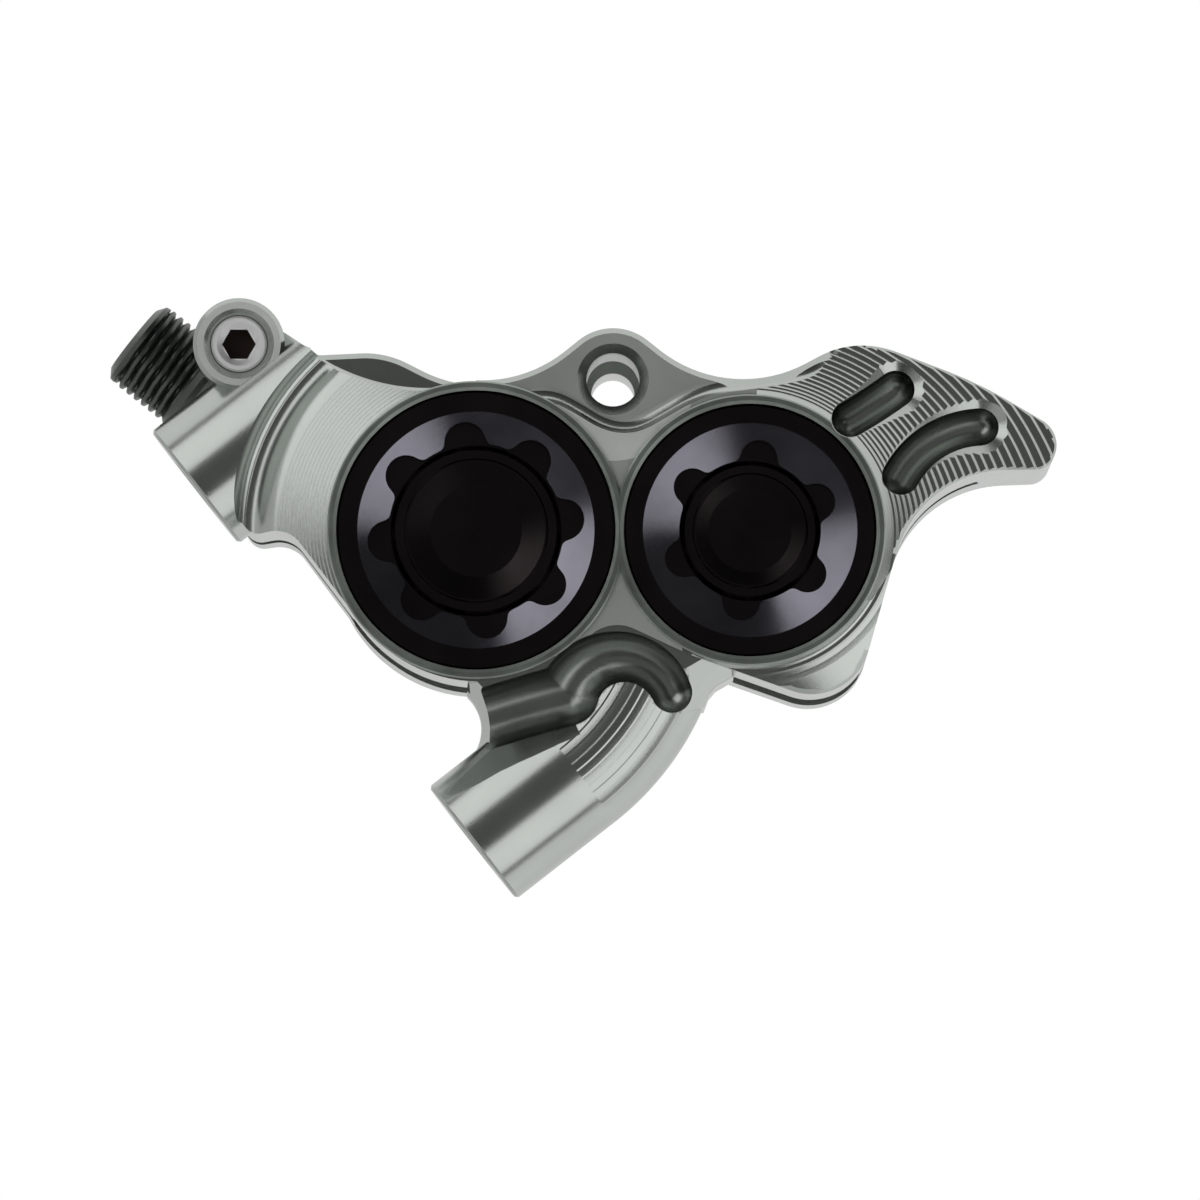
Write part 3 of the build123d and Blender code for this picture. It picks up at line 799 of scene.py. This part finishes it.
def holeCutters():
    p, b, m = pinPlace, bleed, mounts
    tools = []
    for side in (-1, 1):
        start = mountPoint(side)
        r = m["threadRadius"]
        tools.append(threadedBar("tapped", start - offFace * bite, offFace, r, m["threadHeight"],
                                 m["threadPitch"], m["threadDepth"] + bite))
        mouth = [(r + wider, level) for wider, level in m["mouth"]]
        tools.append(laidAlong(turned("mouth", 0, 0, mouth, "small"), start, offFace))
    r, wide, top = p["hole"], p["hole"] + p["lead"], p["level"]
    tools.append(turned("pinHole", 0, p["rise"], [(r, 0), (r, top - p["lead"]), (wide, top), (wide, past)]))
    tools.append(drum("pinThread", 0, p["rise"], p["thread"], *p["threadLevels"], "hole"))
    spot, r, wide = share(*b["place"]), b["head"], b["head"] + b["mouth"]
    tools.append(turned("bleedHole", spot.x, spot.y, [
        (b["shank"], b["floor"] - b["depth"]), (b["shank"], b["floor"]), (r, b["floor"] + hair),
        (r, b["level"] - b["mouth"]), (wide, b["level"]), (wide, past)]))
    return tools


hose = {
    "seat": (-1.508, 0.533), "level": 3.4, "tilt": 38.6, "collar": 4.0, "collarHeight": 1.1,
    "collarShare": 0.55, "collarTop": (0.3, 0.35),
    "thread": 3.55, "root": 3.12, "pitch": 0.694, "length": 5.6, "threadEnd": 0.35,
    "nose": ((0.05, 0.8), (0.1, 0.45), (0.75, 0)), "spigot": 2.9, "spigotLength": 5.0, "spigotBreak": 0.3,
    "clearance": 0.05, "bore": 1.3, "mouth": 2.3, "mouthDepth": 1.6, "oilWay": 9.0,
}
hoseRun = Vector((cos(radians(hose["tilt"])), -sin(radians(hose["tilt"])), 0))


def hoseSeat():
    return share(*hose["seat"]) + Vector((0, 0, hose["level"]))


def hoseCutters():
    seat = hoseSeat()
    start = seat - hoseRun * bite
    spigot = hose["spigot"] + hose["clearance"]
    return [
        bar("spigotHole", start, hoseRun, spigot, hose["spigotLength"] + 2 * bite),
        bar("ringHole", start, hoseRun, spigot + bite, 2 * bite),
        bar("oilWay", seat, hoseRun, hose["bore"], hose["oilWay"]),
    ]


def bodyShape():
    shape = blockShape()
    ridge = cut(upperMount(), flankSpace())
    add(shape, flankShape(), terraceShape(), lobeShape(), ridge, lowerMount(), webShape())
    add(shape, pinGround(), bleedBoss())
    cut(shape, pinPocket(), plateauEdge(), topLedge(), *ledgeEdges(), *hollowCutters())
    add(shape, *rimShapes())
    cut(shape, *slotCutters(), *endCutters(), *gapCutters(), *boreCutters(), *holeCutters(), *hoseCutters())
    return shape


smoothAngles = {"body": 8, "cap": 9, "connector": 35, "other": 28}    # edges sharper than this stay sharp


def smoothShade(obj, kind="other"):
    obj.data.polygons.foreach_set("use_smooth", [True] * len(obj.data.polygons))
    obj.data.set_sharp_from_angle(angle=radians(smoothAngles[kind]))


def stand(obj, name, body, node):
    # name a finished shape, put it in the frame and let it ride on its body
    obj.name = name
    obj.data.name = name
    obj.data.transform(toFrame)
    obj.data.update()
    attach(obj, body)
    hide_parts(node)


milledBody = bodyShape()
smoothShade(milledBody, "body")
stand(milledBody, "milled_body", "caliper", "body")
print("body milled:", len(milledBody.data.polygons), "faces")

# The caps

capCut = {
    "large": {"x": largeX, "radius": 10.45, "lobes": 8, "turn": 7.0, "land": 0.627, "lobe": 0.784,
              "disc": 0.52},
    "small": {"x": smallX, "radius": 9.45, "lobes": 6, "turn": 23.0, "land": 0.563, "lobe": 0.722,
              "disc": 0.46},
    "lobeSize": 0.15, "blend": 0.05, "search": (0.9, 1.2, 600), "top": 17.35, "foot": 15.0, "edge": 0.14,
    "spigotIn": 1.65, "spigotDrop": 0.9, "dish": 0.75, "dishEdge": 0.852, "dishStart": 0.9, "cone": 1.17,
    "coneFacing": (0.85, 0.985), "moat": 1.7, "moatRun": 1, "step": 0.06, "stepDrops": (0.3, 0.5, 0.75),
    "skirt": 0.35, "discEdge": 0.12, "bowl": 0.33, "bowlFall": 0.2, "bowlEdge": 0.2, "bowlRise": 0.1,
}


def moatOutline(cap, steps=cornersOf["disc"]):
    # a round moat with lobes, found along each ray as the edge of softly joined circles
    inner, outer, count = capCut["search"]
    reach = np.linspace(cap["land"] * inner, cap["lobe"] * outer, count)
    angles = np.arange(steps) * 2 * pi / steps
    pitch = 2 * pi / cap["lobes"]
    off = (angles - radians(cap["turn"]) + pitch / 2) % pitch - pitch / 2
    middle = cap["lobe"] - capCut["lobeSize"]
    x, y = reach[None] * np.cos(off[:, None]), reach[None] * np.sin(off[:, None])
    land = reach[None] - cap["land"] + 0 * x
    lobe = np.hypot(x - middle, y) - capCut["lobeSize"]
    soft = capCut["blend"]
    mix = np.clip(0.5 + 0.5 * (lobe - land) / soft, 0, 1)
    edge = lobe * (1 - mix) + land * mix - soft * mix * (1 - mix)
    found = reach[np.argmax(edge > 0, axis=1)]
    found = (np.roll(found, 1) + found + np.roll(found, -1)) / 3
    size = cap["radius"]
    return [(cap["x"] + size * r * cos(a), size * r * sin(a)) for r, a in zip(found, angles)]


def capShape(size):
    # a cap with a dished cone, a lobed moat round its stepped centre, and a shallow bowl there
    cap, c = capCut[size], capCut
    x, radius, top = cap["x"], cap["radius"], c["top"]
    e, foot, spigot = c["edge"], c["foot"], radius - c["spigotIn"]
    shape = turned("cap", x, 0, [(spigot, foot - c["spigotDrop"]), (spigot, foot), (radius, foot + hair),
                                 (radius, top - e), (radius - e, top)], "rim")
    edge = c["dishEdge"] * radius
    dish = [(cap["land"] * radius * c["dishStart"], top - c["dish"] * c["cone"]), (edge, top),
            (edge + bite, top + bite)]
    cut(shape, turned("dish", x, 0, dish, "rim"))
    low = top - c["dish"]
    outline = moatOutline(cap)
    moat = solid("moat", [raised(outline, top - c["moat"]), raised(outline, past)])
    d, step, rim = cap["disc"] * radius, (cap["disc"] + c["step"]) * radius, c["discEdge"]
    shallow, deep, deepest = [low - drop for drop in c["stepDrops"]]
    face = low - rim + hair
    centre = [(step + c["skirt"], top - c["moat"] - c["moatRun"]), (step + c["skirt"], deepest), (step, deep),
              (step, shallow), (d, shallow), (d - rim, low - rim), (d - rim, face)]
    cut(moat, turned("centre", x, 0, centre, "rim"))
    cut(shape, moat)
    bowl, edge = c["bowl"] * radius, d - c["bowlEdge"]
    hollowed = [(bowl, face - (edge - bowl) * c["bowlFall"]), (edge, face), (d, face + c["bowlRise"])]
    return cut(shape, turned("bowl", x, 0, hollowed, "rim"))


for size in ("large", "small"):
    cap = capShape(size)
    smoothShade(cap, "cap")
    stand(cap, size + "_cap", "caliper", "bore_cap_" + size)
print("caps turned")

# The bleed screw and the hose connector

screw = {"top": 15.9, "head": 2.1, "headHeight": 1.4, "shank": 1.5, "length": 5.1, "ring": 1.65,
         "bevel": 0.45, "key": 1.1, "socket": 2.2, "edge": 0.16, "tip": 0.3, "socketEdge": 0.01,
         "socketReach": 1.16}


def screwShape():
    s = screw
    spot = share(*bleed["place"])
    top, e, b, r = s["top"], s["edge"], s["bevel"], s["ring"]
    under = top - s["headHeight"]
    foot = under - s["length"]
    shape = turned("screw", spot.x, spot.y, [
        (s["shank"] - s["tip"], foot), (s["shank"], foot + s["tip"]), (s["shank"], under),
        (s["head"], under + hair), (s["head"], top - e), (s["head"] - e, top)], "hole")
    funnel = [(r - b, top - b), (r, top), (r + bite, top + bite)]
    cut(shape, turned("funnel", spot.x, spot.y, funnel, "hole"))
    hexagon = circle(spot.x, spot.y, s["key"] / cos(pi / 6), "hexagon")
    return cut(shape, slab("key", hexagon, top - s["socket"], past))


bleedScrew = screwShape()
smoothShade(bleedScrew)
stand(bleedScrew, "bleed_screw_turned", "bleed_plug", "bleed_screw")


def connectorShape():
    h = hose
    length = h["collarHeight"] + h["length"]
    outer = h["thread"]
    shape = threadedBar("connector", Vector(), Vector((0, 0, 1)), h["root"], outer - h["root"], h["pitch"],
                        length - h["threadEnd"], "small")
    nose = [(outer - less, length - back) for less, back in h["nose"]]
    less, above = h["collarTop"]
    collar = [(h["collar"], 0), (h["collar"], h["collarHeight"] * h["collarShare"]),
              (outer - less, h["collarHeight"] + above)]
    r, e = h["spigot"], h["spigotBreak"]
    spigot = [(r - e, -h["spigotLength"]), (r, e - h["spigotLength"]), (r, bite)]
    add(shape, turned("nose", 0, 0, nose, "hole"), turned("collar", 0, 0, collar, "hole"),
        turned("spigot", 0, 0, spigot, "small"))
    mouth = [(h["bore"] - h["clearance"], length - h["mouthDepth"]), (h["mouth"], length),
             (h["mouth"], length + bite)]
    cut(shape, drum("bore", 0, 0, h["bore"], -past, past, "small"),
        turned("mouth", 0, 0, mouth, "small"))
    return laidAlong(shape, hoseSeat(), hoseRun * -1)


connector = connectorShape()
smoothShade(connector, "connector")
stand(connector, "threaded_connector", "caliper", "hose_connector")
print("screw and connector turned")


# Finishes

clouds = {"scale": 180, "detail": 4, "from": 0.3, "to": 0.7, "grainDetail": 2, "relief": 0.00002}


def feed(tree, node, settings):
    # set a node's inputs, or link them where the setting is another node's output
    for name, value in settings.items():
        if isinstance(value, bpy.types.NodeSocket):
            tree.links.new(value, node.inputs[name])
        else:
            node.inputs[name].default_value = value
    return node


def newNode(tree, kind, settings):
    return feed(tree, tree.nodes.new(kind), settings)


def finish(name, colour, metal, rough, bump, grain, spread=0.06, tone=0.12):
    # a metal or plastic with mottled tone, uneven gloss and a fine grain in its surface
    c = clouds
    material = bpy.data.materials.new(name)
    material.use_nodes = True
    tree = material.node_tree
    place = newNode(tree, "ShaderNodeTexCoord", {}).outputs["Object"]
    cloud = newNode(tree, "ShaderNodeTexNoise", {"Vector": place, "Scale": c["scale"], "Detail": c["detail"]})
    cloud = cloud.outputs["Fac"]
    colours = newNode(tree, "ShaderNodeValToRGB", {"Fac": cloud})
    dark, light = colours.color_ramp.elements
    dark.position = c["from"]
    dark.color = (*[v * (1 - tone) for v in colour], 1)
    light.position = c["to"]
    light.color = (*[min(1, v * (1 + tone)) for v in colour], 1)
    gloss = newNode(tree, "ShaderNodeMapRange", {"Value": cloud, "To Min": rough - spread,
                                                 "To Max": rough + spread})
    fine = newNode(tree, "ShaderNodeTexNoise", {"Vector": place, "Scale": grain, "Detail": c["grainDetail"]})
    relief = newNode(tree, "ShaderNodeBump", {"Height": fine.outputs["Fac"], "Strength": bump,
                                              "Distance": c["relief"]})
    feed(tree, tree.nodes["Principled BSDF"], {
        "Metallic": metal, "Base Color": colours.outputs["Color"], "Roughness": gloss.outputs["Result"],
        "Normal": relief.outputs["Normal"]})
    return material


def anodised():
    return finish("anodised aluminium", (0.45, 0.475, 0.45), metal=1.0, rough=0.21, bump=0.2, grain=9000,
                  spread=0.04, tone=0.05)


def facedWithPaintedLight(name, colour, rough):
    # ground that a facing cutter left duller, its colour lighter than the milled metal as painted light
    return finish(name, colour, metal=1.0, rough=rough, bump=0.4, grain=7000, spread=0.05, tone=0.06)


def shadedBallMilled():
    # the smoother metal in the slots and the hollow, painted darker as the shade in those recesses
    return finish("ball milled aluminium with painted shade", (0.33, 0.35, 0.33), metal=1.0, rough=0.26, bump=0.05, grain=8000,
                  spread=0.05, tone=0.08)


def speckledLip():
    return finish("speckled lip", (0.33, 0.365, 0.335), metal=1.0, rough=0.36, bump=0.6, grain=5200, tone=0.3)


turnedSheen = {"strength": 0.6, "quarterTurn": 0.25}


def turnedBlack(name, colour, rough):
    # black metal with the sheen that a lathe leaves round the middle
    material = finish(name, colour, metal=1.0, rough=rough, bump=0.06, grain=6000, spread=0.03, tone=0.2)
    tree = material.node_tree
    way = newNode(tree, "ShaderNodeTangent", {})
    way.direction_type = "RADIAL"
    way.axis = "Y"
    feed(tree, tree.nodes["Principled BSDF"], {
        "Anisotropic": turnedSheen["strength"], "Anisotropic Rotation": turnedSheen["quarterTurn"],
        "Tangent": way.outputs["Tangent"]})
    return material


def brightSteel():
    return finish("bright steel", (0.98, 0.98, 0.98), metal=1.0, rough=0.62, bump=0.15, grain=5000,
                  spread=0.04, tone=0.02)


finishes = {
    "milled": anodised(),
    # the faced flats' lighter colours are painted light, the brightest on the rims', the boss's and the upper
    # land's tops
    "faced": facedWithPaintedLight("faced aluminium", (0.55, 0.58, 0.55), 0.52),
    "bright": facedWithPaintedLight("faced aluminium painted brightest", (0.8, 0.82, 0.8), 0.6),
    "lip": speckledLip(),
    # painted shade for the slots, the hollow and its ridge
    "shadedBallMilled": shadedBallMilled(),
    "cap": turnedBlack("black turned aluminium", (0.04, 0.034, 0.035), 0.16),
    # the cone is lighter than the rest of the cap: a painted sheen on top of the lamps' own reflection
    "cone": turnedBlack("black cone with painted sheen", (0.22, 0.215, 0.25), 0.2),
    # the screw's socket is painted near black: painted shade in its hole
    "socket": finish("socket with painted shade", (0.05, 0.032, 0.026), metal=0.6, rough=0.4, bump=0.3, grain=5000),
    "screw": brightSteel(),
    "connector": finish("dark plated steel", (0.1, 0.11, 0.1), metal=0.9, rough=0.34, bump=0.3, grain=7000),
    "piston": finish("ground steel", (0.6, 0.6, 0.59), metal=1.0, rough=0.25, bump=0.2, grain=6000),
    "insulator": finish("moulded phenolic", (0.1, 0.055, 0.03), metal=0.0, rough=0.5, bump=0.5, grain=3000),
    "seal": finish("seal rubber", (0.012, 0.012, 0.012), metal=0.0, rough=0.55, bump=0.3, grain=4000),
}
bodyFinishes = ("milled", "faced", "bright", "lip", "shadedBallMilled")


def dress(obj, *names):
    obj.data.materials.clear()
    for name in names:
        obj.data.materials.append(finishes[name])


# How the place and slope of a face on the body tell its finish
told = {
    "flat": 0.9999, "nearlyFlat": 0.9, "steep": 0.3, "track": 0.07, "bossRight": -20, "landAbove": 5.3,
    "floorAbove": 7, "floorSides": (-8.5, 17), "floorNear": 0.04, "ridgeSlope": 0.7071, "ridgeFacing": 0.5,
    "ridgeSides": (-14, -3), "ridgeEnds": (-19.5, -13), "lipAbove": 17.45, "lipInside": 0.05,
}


def onTrack(spots, track, radii, level):
    # which of the spots lie on the surface that a ball track leaves
    sizes = np.linspace(radii[0], radii[1], len(track))
    below = np.maximum(0, level - spots[:, 2])
    gap = np.full(len(spots), past)
    for (x, y), size in zip(track, sizes):
        gap = np.minimum(gap, np.hypot(np.hypot(spots[:, 0] - x, spots[:, 1] - y), below) - size)
    return np.abs(gap) < told["track"]


toCaliper = toFrame.inverted()


def onLip(spot, points):
    # whether a face lies on the lip between a seat and its rim
    for b in (largeBore, smallBore):
        reach = [Vector((point.x - b["x"], point.y)).length for point in points]
        inside = min(reach) > b["seat"] - told["lipInside"] and max(reach) < b["rim"] + near
        if inside and spot.z > told["lipAbove"]:
            return True
    return False


def between(value, limits):
    return limits[0] < value < limits[1]


def onRidge(spot, facing):
    # whether a face is the broken ridge between the hollow and the lower tube, which takes the hollow's
    # painted shade
    return (abs(facing.z - told["ridgeSlope"]) < near and facing.y > told["ridgeFacing"]
            and between(spot.x, told["ridgeSides"]) and between(spot.y, told["ridgeEnds"]))


def onPinFloor(spot, facing):
    return (facing.z > told["nearlyFlat"] and spot.y > told["floorAbove"]
            and between(spot.x, told["floorSides"])
            and abs(spot.z - plateauLevel(spot.x)) < told["floorNear"])


def groundFinish(spot, facing, flat, ballShaded):
    # the finish of a face by where it lies: spot is its middle, facing its normal
    land = pinPlace["landLevel"]
    # a slot's broken edge leans above its ball's round, and is milled like the fins
    onMouth = facing.z > told["steep"] and spot.x > smallX and spot.z > slots["bottom"] + slots["radius"]
    # flat faces at these levels get the lighter faced colours: painted light
    if flat:
        onBoss = abs(spot.z - bleed["level"]) < near and spot.x < told["bossRight"]
        if onBoss or abs(spot.z - bodyCut["outboard"]) < near:
            return "bright"
        if abs(spot.z - land) < near and spot.y > told["landAbove"]:
            return "bright"
        if min(abs(spot.z - land), abs(spot.z - land + pinPlace["landStep"])) < near:
            return "faced"
    if onPinFloor(spot, facing):
        return "faced"
    # the ridge and the ball tracks' slopes take the darker metal: painted shade in the hollow and the slots
    if onRidge(spot, facing) or ballShaded and not flat and not onMouth:
        return "shadedBallMilled"
    return "milled"


def dressBody(mesh):
    spots = np.array([tuple(toCaliper @ face.center) for face in mesh.polygons])
    ballShadeMask = np.zeros(len(spots), bool)
    # the faces on the ball tracks, which take the painted shade
    for track in slotTracks() + hollowTracks():
        ballShadeMask |= onTrack(spots, *track)
    corners = [toCaliper @ v.co for v in mesh.vertices]
    for face, ballShaded in zip(mesh.polygons, ballShadeMask):
        spot = toCaliper @ face.center
        facing = toCaliper.to_3x3() @ face.normal * 0.001
        name = groundFinish(spot, facing, -face.normal.y > told["flat"], ballShaded)
        if onLip(spot, [corners[i] for i in face.vertices]):
            name = "lip"
        face.material_index = bodyFinishes.index(name)


def dressCap(cap):
    low, high = capCut["top"] - capCut["dish"] * capCut["cone"], capCut["top"]
    least, most = capCut["coneFacing"]
    for face in cap.data.polygons:
        level = stance["height"] - face.center.y * 1000
        # the cone's faces take the lighter colour of the painted sheen
        if least < -face.normal.y < most and low < level < high:
            face.material_index = 1     # the cone


def dressScrew():
    floor, reach = screw["top"] - screw["bevel"] - screw["socketEdge"], screw["key"] * screw["socketReach"]
    for face in bleedScrew.data.polygons:
        spot = toCaliper @ face.center - share(*bleed["place"])
        # faces down in the socket take the painted shade
        if spot.z < floor and spot.xy.length < reach:
            face.material_index = 1     # the socket


dress(milledBody, *bodyFinishes)
dressBody(milledBody.data)
for size in ("large", "small"):
    dress(bpy.data.objects[size + "_cap"], "cap", "cone")
    dressCap(bpy.data.objects[size + "_cap"])
dress(bleedScrew, "screw", "socket")
dressScrew()
dress(connector, "connector")
for name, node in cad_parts.items():
    if not node.hide_render:
        dress(node, "insulator" if "insulator" in name else "seal" if "seal" in name else "piston")
        smoothShade(node)
print("finishes laid on")

# The studio: white ground and backdrop, soft lamps, a long lens a little below the object

camera = {"distance": 1.5, "below": 2.6, "aim": (-0.976, -5.28, 17.8), "across": 0.09009, "sensor": 36.0,
          "nearest": 0.05}


def aimAt(obj, point, distance, side, up, back):
    # stand an object off a point of the caliper, looking back at it
    basis = Matrix((side, up, back)).transposed().to_4x4()
    obj.matrix_world = Matrix.Translation(toFrame @ Vector(point) + back * distance) @ basis


def makeCamera():
    data = bpy.data.cameras.new("camera")
    obj = placed("camera", data)
    turn = toFrame.to_3x3().normalized()
    below = radians(camera["below"])
    back = turn @ Vector((0, -sin(below), cos(below)))
    up = turn @ Vector((0, cos(below), sin(below)))
    aimAt(obj, camera["aim"], camera["distance"], up.cross(back), up, back)
    data.sensor_width = camera["sensor"]
    data.lens = camera["sensor"] * camera["distance"] / camera["across"]
    data.clip_start = camera["nearest"]
    scene.camera = obj


studio = {
    "level": 1.2, "off": 49.0, "distance": 0.6, "reach": 0.54, "width": 0.5, "swing": 17.0,
    "middle": (0, 0, 12),
    "floor": {"half": 0.34, "front": -0.1, "level": -0.05, "tone": 0.92, "rough": 0.8},
    # the world's light by direction, from 0 straight past the part to 1 at the camera
    "world": ((0.0, 0.75), (0.3, 1.0), (0.54, 1.0), (0.58, 0.12), (0.66, 0.1), (0.86, 0.06), (0.9, 0.032),
              (0.945, 0.032), (0.968, 0.115)),
}


def softbox(name, towards, level):
    # a lamp that stands off the camera's axis, its long way across the tubes
    s = studio
    turn = toFrame.to_3x3().normalized()
    off = radians(s["off"])
    away = turn @ (Vector((0, 0, cos(off))) + towards * sin(off))
    across = turn @ Vector((0, 0, 1)).cross(towards)
    data = bpy.data.lights.new(name, "AREA")
    data.shape = "RECTANGLE"
    data.size = s["width"]
    data.size_y = s["reach"]
    data.energy = level * pi * s["width"] * s["reach"]
    aimAt(placed(name, data), s["middle"], s["distance"], across, away.cross(across), away)


def whiteWorld():
    # dark round the camera, white from the sides on, and white wherever the camera sees past the part
    world = bpy.data.worlds.new("studio")
    scene.world = world
    world.use_nodes = True
    tree = world.node_tree
    tree.nodes.clear()
    place = newNode(tree, "ShaderNodeTexCoord", {})
    split = newNode(tree, "ShaderNodeSeparateXYZ", {"Vector": place.outputs["Generated"]})
    shift = newNode(tree, "ShaderNodeMapRange", {"Value": split.outputs["Y"], "From Min": 1, "From Max": -1})
    ramp = newNode(tree, "ShaderNodeValToRGB", {"Fac": shift.outputs["Result"]})
    ramp.color_ramp.elements[0].position = 0.0
    ramp.color_ramp.elements[1].position = 1.0
    stops = studio["world"]
    while len(ramp.color_ramp.elements) < len(stops):
        ramp.color_ramp.elements.new(0.5)
    for stop, (position, level) in zip(ramp.color_ramp.elements, stops):
        stop.position = position
        stop.color = (level, level, level, 1)
    lit = newNode(tree, "ShaderNodeBackground", {"Color": ramp.outputs["Color"]})
    seen = newNode(tree, "ShaderNodeBackground", {"Color": (1, 1, 1, 1)})
    path = newNode(tree, "ShaderNodeLightPath", {})
    choose = newNode(tree, "ShaderNodeMixShader", {
        "Fac": path.outputs["Is Camera Ray"], 1: lit.outputs["Background"], 2: seen.outputs["Background"]})
    newNode(tree, "ShaderNodeOutputWorld", {"Surface": choose.outputs["Shader"]})


def whiteFloor():
    f = studio["floor"]
    half, front, level = f["half"], f["front"], f["level"]
    corners = [(-half, front, level), (half, front, level), (half, half, level), (-half, half, level)]
    mesh = bpy.data.meshes.new("floor")
    mesh.from_pydata(corners, [], [(0, 1, 2, 3)])
    floorObj = placed("floor", mesh)
    material = bpy.data.materials.new("white ground")
    material.use_nodes = True
    tree = material.node_tree
    feed(tree, tree.nodes["Principled BSDF"], {"Base Color": (*[f["tone"]] * 3, 1), "Roughness": f["rough"]})
    mesh.materials.append(material)


makeCamera()
whiteWorld()
whiteFloor()
lampLine = Matrix.Rotation(radians(studio["swing"]), 3, "Z") @ alongFace
softbox("upper left lamp", -lampLine, studio["level"])
softbox("lower right lamp", lampLine, studio["level"])
scene.view_settings.view_transform = "Standard"
print("studio set")
